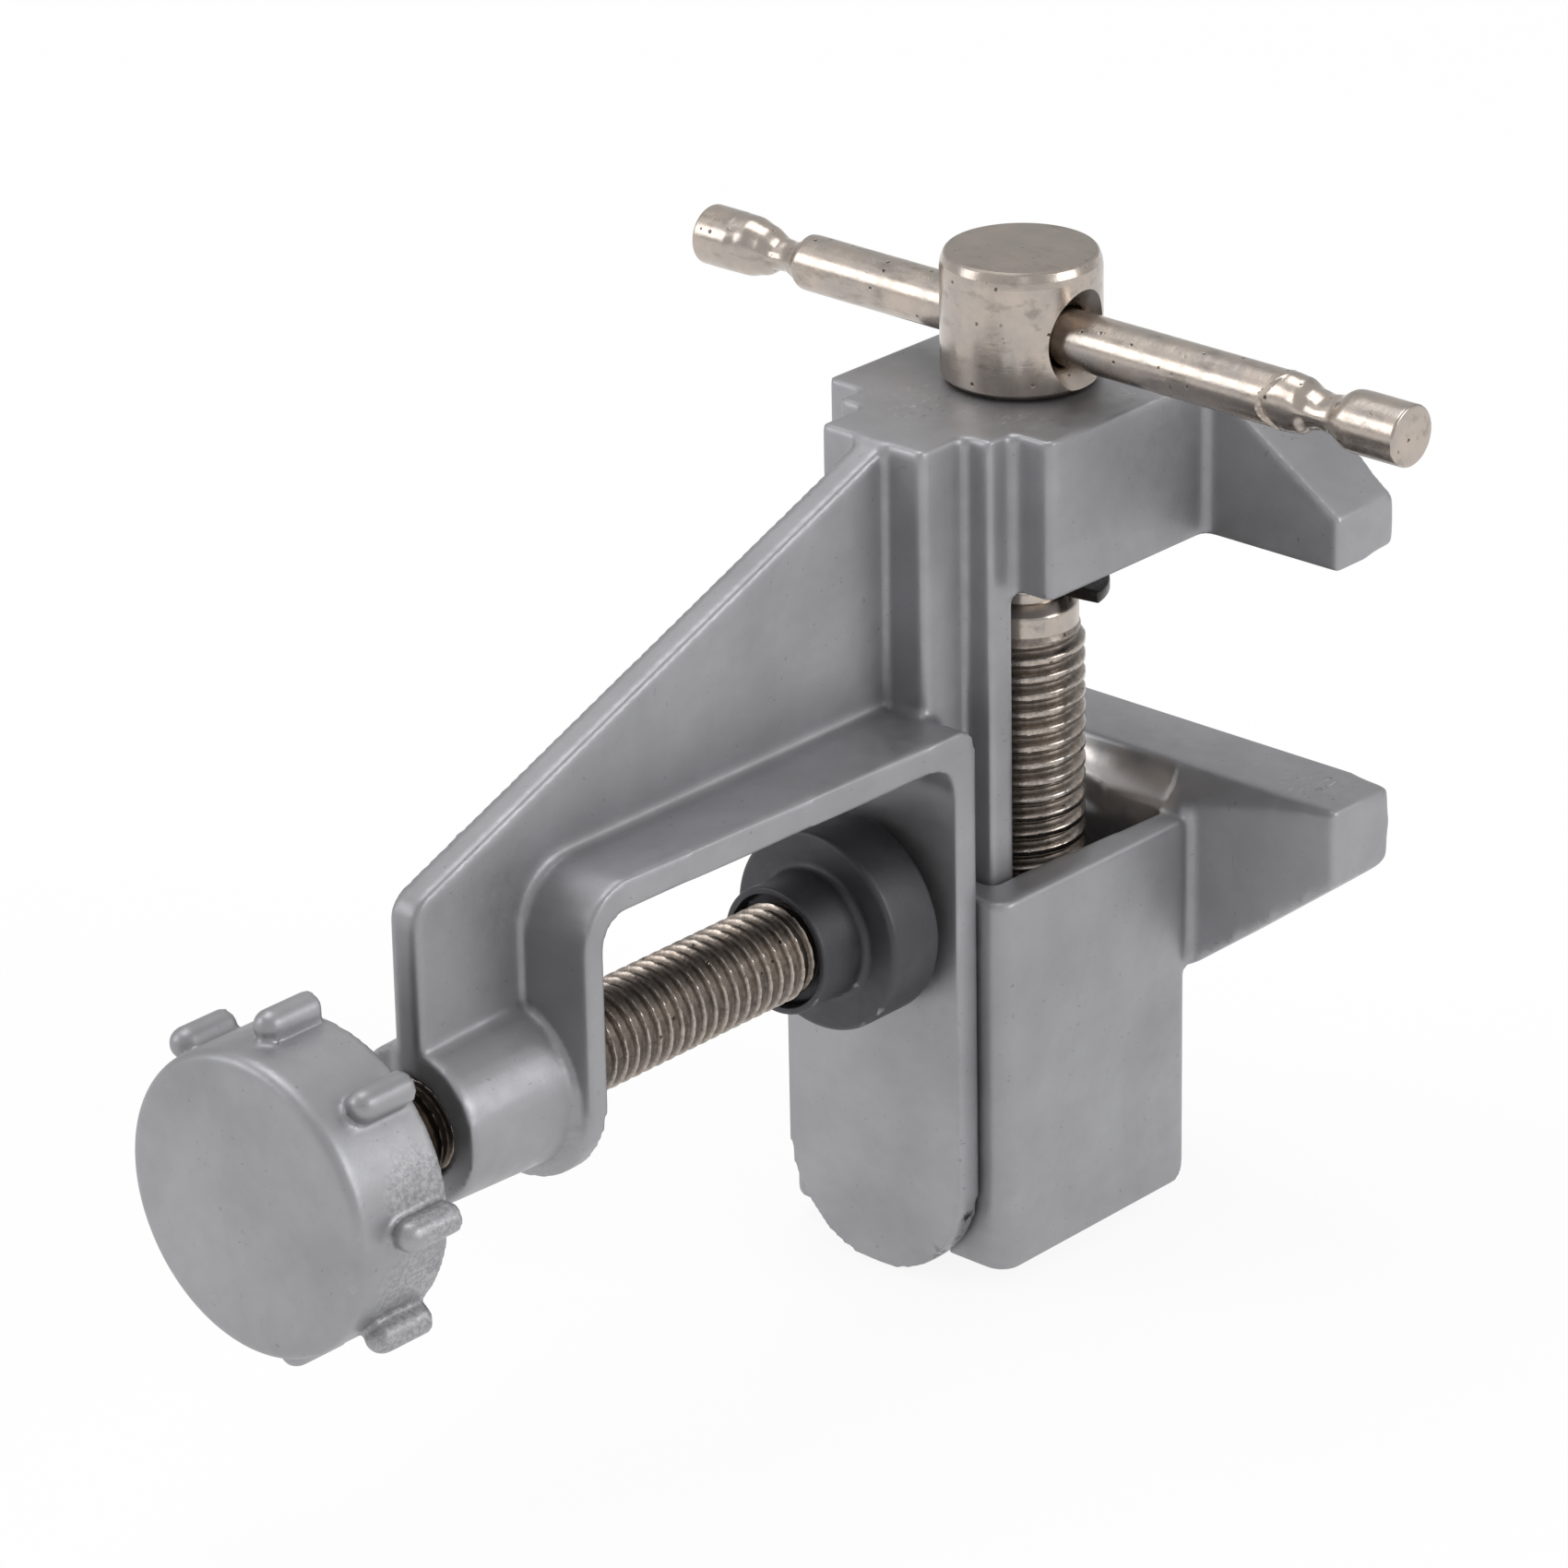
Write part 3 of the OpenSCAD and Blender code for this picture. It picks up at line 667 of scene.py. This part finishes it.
class VISE_OT_casting(bpy.types.Operator):
    """Builds the fixed casting: bow, web, boss, column, head block and upper jaw"""

    bl_idname = "vise.casting"
    bl_label = "Fixed casting"

    CHIPS = ((1.2, -8.6, -25.2, 1.1), (1.0, -6.6, -28.9, 1.6), (1.1, -7.9, -27.0, 0.9),
             (1.0, -4.6, -30.9, 0.9), (35.0, -24.4, 30.0, 0.9))
    SCUFFS = ((10.0, 2.0, 39.2, 5.5), (12.0, -6.0, 39.2, 4.0), (22.0, -10.0, 39.2, 3.5))

    # The wedge (x, z) that makes the upper jaw's top slope down to its front, and how wide it cuts
    SLOPE = ((26.5, 39.25), (36.0, 36.3), (36.0, 40.0), (26.5, 40.0))
    SLOPE_Y = (-22.0, 22.0)

    def execute(self, context):
        paint = cast_paint("casting_paint", colours().paint, chips=self.CHIPS, scuffs=self.SCUFFS)
        piece = show("casting", welded_copy("body_casting", "casting"), paint,
                     "body", "body_casting")
        carve(piece, prism("slope", self.SLOPE, *self.SLOPE_Y))
        cast_skin(piece, sizes().cast_grain, sizes().cast_softness, front_corners(UPPER_TIP_Z))
        return {"FINISHED"}


class VISE_OT_sliding_jaw(bpy.types.Operator):
    """Builds the sliding box with its lower jaw"""

    bl_idname = "vise.sliding_jaw"
    bl_label = "Sliding jaw"

    SCUFFS = ((31.0, -20.0, 5.6, 4.0),)
    # Polished spots on the slope down into the box, which also get a painted highlight
    POLISHED_WITH_PAINTED_HIGHLIGHT = tuple((25.4, y, 3.0, 3.6) for y in (-7.0, -3.0, 1.0, 5.0))

    # The round scoop that hollows the slope from the gripping face down into the box
    SCOOP_X, SCOOP_Z = 24.3, 5.6
    SCOOP_R, SCOOP_HALF, SCOOP_FACETS = 3.3, 9.1, 96

    def execute(self, context):
        paint = cast_paint("jaw_paint", colours().paint, scuffs=self.SCUFFS, polished_with_painted_highlight=self.POLISHED_WITH_PAINTED_HIGHLIGHT)
        piece = show("lower_jaw", welded_copy("sliding_jaw", "lower_jaw"), paint,
                     "sliding jaw", "sliding_jaw")
        half, r = self.SCOOP_HALF, self.SCOOP_R
        place = Matrix.Translation((self.SCOOP_X * MM, 0, self.SCOOP_Z * MM)) @ ALONG_Y
        rows = [(0, -half), (r, -half), (r, half), (0, half)]
        carve(piece, turned("scoop", rows, self.SCOOP_FACETS, place))
        cast_skin(piece, sizes().cast_grain, sizes().cast_softness, front_corners(LOWER_TIP_Z))
        return {"FINISHED"}


class VISE_OT_main_screw(bpy.types.Operator):
    """Builds the main screw with its thread, collar, clip groove and bored head"""

    bl_idname = "vise.main_screw"
    bl_label = "Main screw"

    # How much smaller in radius than the thread's crests the collar, its upper edge and the groove are
    COLLAR_UNDER, COLLAR_EDGE_UNDER, GROOVE_UNDER = 0.5, 1.3, 1.5
    # The depth of the thread as a share of its pitch, and the chamfer (inwards, upwards) of its end
    ROOT_SHARE, END_CHAMFER = 0.42, (0.5, 0.4)
    # The length of the collar's upper chamfer, and the room over the clip in its groove
    CHAMFER, GROOVE_ROOM = 0.9, 0.35

    # The head's outline, from below: (inset from its radius, height above its foot, rounding) and
    # then (inset, depth below its top, rounding)
    FOOT = ((0.5, 0.0, 0.12), (0.0, 0.5, 0.3))
    RIM = ((0.0, 1.3, 0.2), (0.08, 0.8, 0.3), (0.3, 0.2, 0.2), (0.5, 0.0, 0.05))
    # How far down from its top the turned finish reaches
    TOP_FINISH = 0.12

    # The countersinks of the handle's hole: how deep they go, their rounding and the cutter's overrun
    SINK, SINK_ROUND, OVERRUN = 1.8, 1.4, 2.0
    HOLE_FACETS = 72

    def execute(self, context):
        radius, pitch = sizes().main_radius / MM, sizes().main_pitch / MM
        root_r = radius - pitch * self.ROOT_SHARE
        collar_r = radius - self.COLLAR_UNDER
        groove_r = radius - self.GROOVE_UNDER
        groove_z = (CLIP_Z[0], CLIP_Z[1] + self.GROOVE_ROOM)
        end_in, end_up = self.END_CHAMFER
        rows = [(0, THREAD_END_Z), (root_r - end_in, THREAD_END_Z)]
        rows += thread_rows(radius, root_r, pitch, THREAD_END_Z + end_up, COLLAR_Z, (root_r - 0.1, collar_r),
                            SCREW_FACETS, crest=0.24, root=0.06, per_turn=14)
        rows += fillet([
            (collar_r, COLLAR_Z + 0.1, 0), (collar_r, groove_z[0] - self.CHAMFER, 0.6),
            (radius - self.COLLAR_EDGE_UNDER, groove_z[0], 0.1), (groove_r, groove_z[0], 0),
            (groove_r, groove_z[1], 0), (radius, groove_z[1], 0.15), (radius, HEAD_Z[0], 0.1),
            *((HEAD_R - inset, HEAD_Z[0] + up, rounding) for inset, up, rounding in self.FOOT),
            *((HEAD_R - inset, HEAD_Z[1] - down, rounding) for inset, down, rounding in self.RIM),
            (HEAD_R / 2, HEAD_Z[1], 0), (0, HEAD_Z[1], 0),
        ])
        steel = plated_steel("screw_steel", rings_along=(0.3, 0.3, 9.0), dirt=0.42,
                             turned_above=HEAD_Z[1] - self.TOP_FINISH)
        mesh = turned("main_screw_body", rows, SCREW_FACETS, Matrix.Translation((SCREW_X * MM, 0, 0)))
        piece = show("main_screw_body", mesh, steel, "main screw", "main_screw")
        out, mouth_r = HEAD_R + self.OVERRUN, HOLE_R + self.SINK + self.OVERRUN
        neck = HEAD_R - self.SINK
        cutter = fillet([
            (0, -out, 0), (mouth_r, -out, 0), (HOLE_R, -neck, self.SINK_ROUND),
            (HOLE_R, neck, self.SINK_ROUND), (mouth_r, out, 0), (0, out, 0),
        ], steps=8)
        place = Matrix.Translation((SCREW_X * MM, 0, HOLE_Z * MM)) @ ALONG_Y
        mesh = carve(piece, turned("hole", cutter, self.HOLE_FACETS, place))
        mark_roots(mesh, (SCREW_X, 0, 0), (0, 0, 1), radius, root_r, THREAD_END_Z, COLLAR_Z)
        smooth_to(mesh, 38)
        return {"FINISHED"}


class VISE_OT_clip(bpy.types.Operator):
    """Builds the black retaining clip in the main screw's groove"""

    bl_idname = "vise.clip"
    bl_label = "Retaining clip"

    FLAT_ANGLE = math.radians(1)
    RIM_ANGLE = math.radians(40)
    RIM_WIDTH = 0.16 * MM

    def execute(self, context):
        piece = show("clip", welded_copy("e_clip", "clip"), black_oxide("clip_black"),
                     "main screw", "e_clip")
        flat = piece.modifiers.new("Flat", "DECIMATE")
        flat.decimate_type = "DISSOLVE"
        flat.angle_limit = self.FLAT_ANGLE
        rim = piece.modifiers.new("Rim", "BEVEL")
        rim.width = self.RIM_WIDTH
        rim.segments = 3
        rim.limit_method = "ANGLE"
        rim.angle_limit = self.RIM_ANGLE
        smooth_to(settle(piece), 50)
        return {"FINISHED"}


class VISE_OT_handle(bpy.types.Operator):
    """Builds the handle bar with its pinched ends"""

    bl_idname = "vise.handle"
    bl_label = "Handle bar"

    # What the crimping took off, as shares of the rod's radius against the distance from the tip in
    # millimetres: on the front and back, on the top and bottom, and all round. The cap is the swollen
    # end, and the bow is how far the front's marks bend towards the tip above and below
    NEAR = {
        "front": ((5.6, 0.0), (7.4, 0.1), (9.4, 0.15), (11.4, 0.19), (13.15, 0.2), (13.3, 0.0)),
        "top": ((5.2, 0.0), (6.9, 0.24), (7.9, 0.3), (8.9, 0.22), (10.2, 0.0), (11.4, -0.05), (12.8, 0.0)),
        "round": ((5.4, 0.0), (7.0, 0.07), (8.6, 0.07), (10.4, 0.0)),
        "cap": (5.0, 6.6),
        "bow": 1.7,
    }
    FAR = {
        "front": ((3.2, 0.0), (4.3, 0.07), (6.2, 0.16), (8.4, 0.2), (10.2, 0.1), (10.9, 0.0)),
        "top": ((3.4, 0.0), (4.8, -0.05), (6.3, 0.06), (8.0, 0.33), (8.9, 0.36), (10.2, 0.26), (10.8, 0.0)),
        "round": ((5.6, 0.0), (7.8, 0.09), (9.2, 0.09), (10.6, 0.0)),
        "cap": (3.2, 5.6),
        "bow": -0.5,
    }
    # The rounded lip at each tip, as (inset, distance from the tip)
    LIP = ((0.55, 0.0), (0.22, 0.0), (0.1, 0.03), (0.03, 0.1), (0.0, 0.2))
    CAP_SWELL = 0.18
    # How far from a tip the rows follow the crimp, how far apart they are, and the rows between
    REACH, STEP, PLAIN_ROWS = 15.0, 0.1, 60
    FACETS = 128

    @staticmethod
    def along(curve, s):
        """A curve's value at distances s, eased between its corners."""
        at, value = (np.array(column) for column in zip(*curve))
        s = np.asarray(s, dtype=float)
        left = np.clip(np.searchsorted(at, s) - 1, 0, len(at) - 2)
        t = np.clip((s - at[left]) / (at[left + 1] - at[left]), 0, 1)
        t = t * t * (3 - 2 * t)
        return value[left] * (1 - t) + value[left + 1] * t

    def section(self, s, end, rod_r):
        """Radii of the bar's section at a distance s from a tip."""
        cos, sin, _ = circle_of(self.FACETS)
        front = self.along(end["front"], s + end["bow"] * sin ** 2)
        top = self.along(end["top"], s)
        near_cap, past_cap = end["cap"]
        over = self.CAP_SWELL * (1 - min(1.0, max(0.0, (s - near_cap) / (past_cap - near_cap))))
        cut = front * np.abs(cos) ** 1.6 + top * np.abs(sin) ** 1.6 + self.along(end["round"], s)
        return rod_r * (1 - cut) + over

    def crimp(self, end, tip, inwards, rod_r):
        """Rows from a tip to the plain rod; inwards is 1 or -1 along the bar."""
        rows = [(0, tip)]
        for inset, depth in self.LIP:
            rows.append((self.section(depth, end, rod_r) - inset, tip + inwards * depth))
        for s in np.arange(self.LIP[-1][1] + self.STEP, self.REACH, self.STEP):
            rows.append((self.section(s, end, rod_r), tip + inwards * s))
        return rows

    def execute(self, context):
        rod_r = sizes().bar_radius / MM
        low, high = BAR_Y
        rows = self.crimp(self.NEAR, low, 1, rod_r)
        rows += [(rod_r, y) for y in np.linspace(low + self.REACH, high - self.REACH, self.PLAIN_ROWS)]
        rows += self.crimp(self.FAR, high, -1, rod_r)[::-1]
        place = Matrix.Translation((SCREW_X * MM, 0, HOLE_Z * MM)) @ Matrix.Rotation(BAR_TILT, 4, "X")
        mesh = turned("handle", rows, self.FACETS, place @ ALONG_Y)
        show("handle", mesh, plated_steel("bar_steel", rough=(0.18, 0.3)),
             "handle bar", "handle_bar")
        smooth_to(mesh, 40)
        return {"FINISHED"}


class VISE_OT_clamp_screw(bpy.types.Operator):
    """Builds the clamp screw: thread, tenon and riveted end"""

    bl_idname = "vise.clamp_screw"
    bl_label = "Clamp screw"

    # The depth of the thread as a share of its pitch
    ROOT_SHARE = 0.38
    # The plain end in the knob: how far it goes in, and its chamfer
    IN_KNOB, END_CHAMFER = 6.4, 0.3
    # The tenon through the pad and its riveted head, as (radius, x, rounding)
    TENON = ((2.9, SHOULDER_X, 0), (2.9, -2.85, 0), (3.9, -2.85, 0.1), (3.8, -2.2, 0.3),
             (3.0, -1.8, 0.5), (1.5, -1.66, 0.4), (0, -1.65, 0))
    # The thread between knob and boss is darkened: a painted shadow of the knob and boss
    PAINTED_SHADOW_SPOTS = ((-56.0, 0.0, 0.0, 7.0),)

    def execute(self, context):
        radius, pitch = sizes().clamp_radius / MM, sizes().clamp_pitch / MM
        root_r = radius - pitch * self.ROOT_SHARE
        end = KNOB_REAR_X - self.IN_KNOB
        rows = [(0, end), (radius - self.END_CHAMFER, end), (radius, end + self.END_CHAMFER)]
        rows += thread_rows(radius, root_r, pitch, KNOB_REAR_X - 0.4, SHOULDER_X - 0.15, (radius, root_r),
                            SCREW_FACETS, crest=0.04, root=0.5, per_turn=20)
        rows += fillet([(root_r, SHOULDER_X, 0), *self.TENON])
        steel = plated_steel("clamp_steel", rings_along=(6.0, 0.3, 0.3), dirt=0.66, painted_shadow_spots=self.PAINTED_SHADOW_SPOTS)
        mesh = turned("clamp_screw_body", rows, SCREW_FACETS, ALONG_X)
        show("clamp_screw_body", mesh, steel, "clamp screw", "clamp_screw")
        mark_roots(mesh, (0, 0, 0), (1, 0, 0), radius, root_r, KNOB_REAR_X, SHOULDER_X - 0.3)
        smooth_to(mesh, 38)
        return {"FINISHED"}


class VISE_OT_pad(bpy.types.Operator):
    """Builds the swivelling pad on the clamp screw's end"""

    bl_idname = "vise.pad"
    bl_label = "Pad"

    # Its outline as (radius, x, rounding): bore, hub's mouth, hub, flange and the rivet's recess
    OUTLINE = ((2.95, -9.8, 0), (4.7, -9.8, 0.5), (4.7, -11.3, 0.12), (5.3, -11.3, 0.28),
               (5.3, -6.5, 0.7), (8.35, -6.5, 0.55), (8.35, -1.2, 0.4), (4.5, -1.2, 0.15),
               (4.5, -3.0, 0.3), (2.95, -3.0, 0), (2.95, -9.8, 0))
    FACETS = 128

    def execute(self, context):
        mesh = turned_ring("pad_body", fillet(self.OUTLINE, steps=6), self.FACETS, ALONG_X)
        # The pad's darker grey is partly its own colour and partly painted shade
        paint = cast_paint("pad_iron", colours().pad_grey_with_shade, rough=(0.42, 0.55))
        show("pad_body", mesh, paint, "pad", "pad")
        smooth_to(mesh, 50)
        return {"FINISHED"}


class VISE_OT_knob(bpy.types.Operator):
    """Builds the ribbed knob on the clamp screw"""

    bl_idname = "vise.knob"
    bl_label = "Knob"

    # Where the rim is rough: from one radius to another, from one X to another, near some places
    SIDE_R = (11.3, 11.9)
    BACK_X = (-67.4, -65.0)
    ROUGH_SPOTS = ((-62.0, -9.0, -8.0, 9.0), (-62.0, -12.0, 2.0, 5.0))
    SPECKLE = 0.3
    # How far its edges are rounded
    SOFTNESS = 5

    def rough_rim(self, sheet):
        """How strongly the knob's rim is speckled."""
        y, z = sheet.axis("Y"), sheet.axis("Z")
        away = sheet.maths("SQRT", sheet.maths("ADD", sheet.times(y, y), sheet.times(z, z)))
        side = sheet.span(away, *(r * MM for r in self.SIDE_R))
        back = sheet.span(sheet.axis("X"), *(x * MM for x in self.BACK_X))
        patch = sheet.near(self.ROUGH_SPOTS, soft=0.5)
        return sheet.times(sheet.times(sheet.times(side, back), patch), self.SPECKLE)

    def execute(self, context):
        paint = cast_paint("knob_paint", colours().paint, speckle=self.rough_rim)
        piece = show("knob_body", welded_copy("knob", "knob_body"), paint,
                     "clamp screw", "knob")
        cast_skin(piece, sizes().knob_grain, self.SOFTNESS)
        return {"FINISHED"}


class VISE_OT_stage(bpy.types.Operator):
    """Builds the floor, the lamps, the white surroundings and the camera"""

    bl_idname = "vise.stage"
    bl_label = "Stage"

    # Each lamp's name, power in watts, side in metres and place in metres
    LAMPS = (
        ("key", 4.0, 0.6, (0.35, -1.0, 0.5)),
        ("fill", 0.12, 0.25, (-0.75, -0.75, 0.55)),
        ("rim", 2.0, 0.5, (-0.75, 0.69, 0.45)),
        ("back", 0.3, 0.5, (-0.42, 0.68, 0.75)),
        ("top", 3.8, 0.7, (0.0, 0.25, 1.12)),
    )
    LAMPS_AIM = (0.0, 0.0, 0.01)
    FLOOR_HALF, FLOOR_GAP = 4.0, 0.2 * MM
    # How white the floor is to the rays that look at it, and the light of the white surroundings
    FLOOR_WHITE = 0.9
    WORLD_STRENGTH = 0.64
    CLIP_NEAR, CLIP_FAR = 0.02, 20

    def execute(self, context):
        scene = context.scene
        scene.view_settings.view_transform = "Standard"
        self.floor(cad_box[0].z - self.FLOOR_GAP)
        self.surroundings(scene)
        for name, watts, size, place in self.LAMPS:
            self.lamp(scene, name, watts, size, Vector(place))
        self.camera(scene)
        return {"FINISHED"}

    def floor(self, floor_z):
        work = bmesh.new()
        bmesh.ops.create_grid(work, x_segments=8, y_segments=8, size=self.FLOOR_HALF)
        mesh = bpy.data.meshes.new("floor")
        work.to_mesh(mesh)
        work.free()
        mesh.transform(Matrix.Translation((0, 0, floor_z)))
        floor = bpy.data.objects.new("floor", mesh)
        bpy.context.scene.collection.objects.link(floor)
        sheet = Sheet("floor_white")
        tree = sheet.tree
        matte = sheet.add("ShaderNodeBsdfDiffuse", {"Color": tuple(colours().floor)})
        white = sheet.add("ShaderNodeEmission", {"Color": WHITE, "Strength": 1.0})
        path = sheet.add("ShaderNodeLightPath").outputs
        seen = sheet.maths("MAXIMUM", path["Is Glossy Ray"], path["Is Transmission Ray"])
        seen = sheet.maths("MAXIMUM", path["Is Camera Ray"], seen)
        mix = sheet.add("ShaderNodeMixShader", {0: sheet.times(seen, self.FLOOR_WHITE)})
        tree.links.new(matte.outputs[0], mix.inputs[1])
        tree.links.new(white.outputs[0], mix.inputs[2])
        tree.links.new(mix.outputs[0], sheet.output.inputs["Surface"])
        mesh.materials.append(sheet.material)

    def surroundings(self, scene):
        world = bpy.data.worlds.new("studio")
        scene.world = world
        world.use_nodes = True
        tree = world.node_tree
        tree.nodes.clear()
        output = tree.nodes.new("ShaderNodeOutputWorld")
        mix = tree.nodes.new("ShaderNodeMixShader")
        for slot, strength in ((1, self.WORLD_STRENGTH), (2, 1.0)):
            light = tree.nodes.new("ShaderNodeBackground")
            light.inputs["Color"].default_value = WHITE
            light.inputs["Strength"].default_value = strength
            tree.links.new(light.outputs[0], mix.inputs[slot])
        path = tree.nodes.new("ShaderNodeLightPath")
        seen = tree.nodes.new("ShaderNodeMath")
        seen.operation = "MAXIMUM"
        tree.links.new(path.outputs["Is Camera Ray"], seen.inputs[0])
        tree.links.new(path.outputs["Is Transmission Ray"], seen.inputs[1])
        tree.links.new(seen.outputs[0], mix.inputs[0])
        tree.links.new(mix.outputs[0], output.inputs["Surface"])

    def lamp(self, scene, name, watts, size, place):
        data = bpy.data.lights.new(name, "AREA")
        data.shape = "SQUARE"
        data.size = size
        data.energy = watts
        lamp = bpy.data.objects.new(name, data)
        lamp.location = place
        lamp.rotation_euler = (Vector(self.LAMPS_AIM) - place).to_track_quat("-Z", "Y").to_euler()
        scene.collection.objects.link(lamp)

    def camera(self, scene):
        azimuth, elevation = math.radians(CAMERA_AZIMUTH), math.radians(CAMERA_ELEVATION)
        roll = math.radians(CAMERA_ROLL)
        back = Vector((math.sin(azimuth) * math.cos(elevation),
                       -math.cos(azimuth) * math.cos(elevation), math.sin(elevation)))
        right = (-back).cross(Vector((0, 0, 1))).normalized()
        up = right.cross(-back)
        turned_right = right * math.cos(roll) + up * math.sin(roll)
        turned_up = up * math.cos(roll) - right * math.sin(roll)
        data = bpy.data.cameras.new("photo_camera")
        data.sensor_width = CAMERA_SENSOR
        data.lens = CAMERA_LENS
        data.clip_start, data.clip_end = self.CLIP_NEAR, self.CLIP_FAR
        camera = bpy.data.objects.new("photo_camera", data)
        place = Vector(LOOK_AT) * MM + back * CAMERA_DISTANCE * MM
        camera.matrix_world = Matrix((
            (turned_right.x, turned_up.x, back.x, place.x),
            (turned_right.y, turned_up.y, back.y, place.y),
            (turned_right.z, turned_up.z, back.z, place.z),
            (0, 0, 0, 1),
        ))
        scene.collection.objects.link(camera)
        scene.camera = camera


PIECES = (
    VISE_OT_stage, VISE_OT_casting, VISE_OT_sliding_jaw, VISE_OT_main_screw, VISE_OT_clip,
    VISE_OT_handle, VISE_OT_clamp_screw, VISE_OT_pad, VISE_OT_knob,
)


class VISE_PT_panel(bpy.types.Panel):
    """Sizes, colours and pieces of the vise"""

    bl_idname = "VISE_PT_panel"
    bl_label = "Table vise"
    bl_space_type = "VIEW_3D"
    bl_region_type = "UI"
    bl_category = "Vise"

    def draw(self, context):
        layout = self.layout
        for title, group in (("Sizes", context.scene.vise_sizes), ("Colours", context.scene.vise_colours)):
            box = layout.box()
            box.label(text=title)
            for key in group.__annotations__:
                box.prop(group, key)
        column = layout.column(align=True)
        for piece in PIECES:
            column.operator(piece.bl_idname)


CLASSES = (ViseSizes, ViseColours, *PIECES, VISE_PT_panel)


def register():
    for kind in CLASSES:
        bpy.utils.register_class(kind)
    bpy.types.Scene.vise_sizes = PointerProperty(type=ViseSizes)
    bpy.types.Scene.vise_colours = PointerProperty(type=ViseColours)


def unregister():
    del bpy.types.Scene.vise_colours
    del bpy.types.Scene.vise_sizes
    for kind in reversed(CLASSES):
        bpy.utils.unregister_class(kind)


def main():
    register()
    bpy.ops.vise.stage()
    bpy.ops.vise.casting()
    bpy.ops.vise.sliding_jaw()
    bpy.ops.vise.main_screw()
    bpy.ops.vise.clip()
    bpy.ops.vise.handle()
    bpy.ops.vise.clamp_screw()
    bpy.ops.vise.pad()
    bpy.ops.vise.knob()
    bpy.context.view_layer.update()


if __name__ == "__main__":
    main()
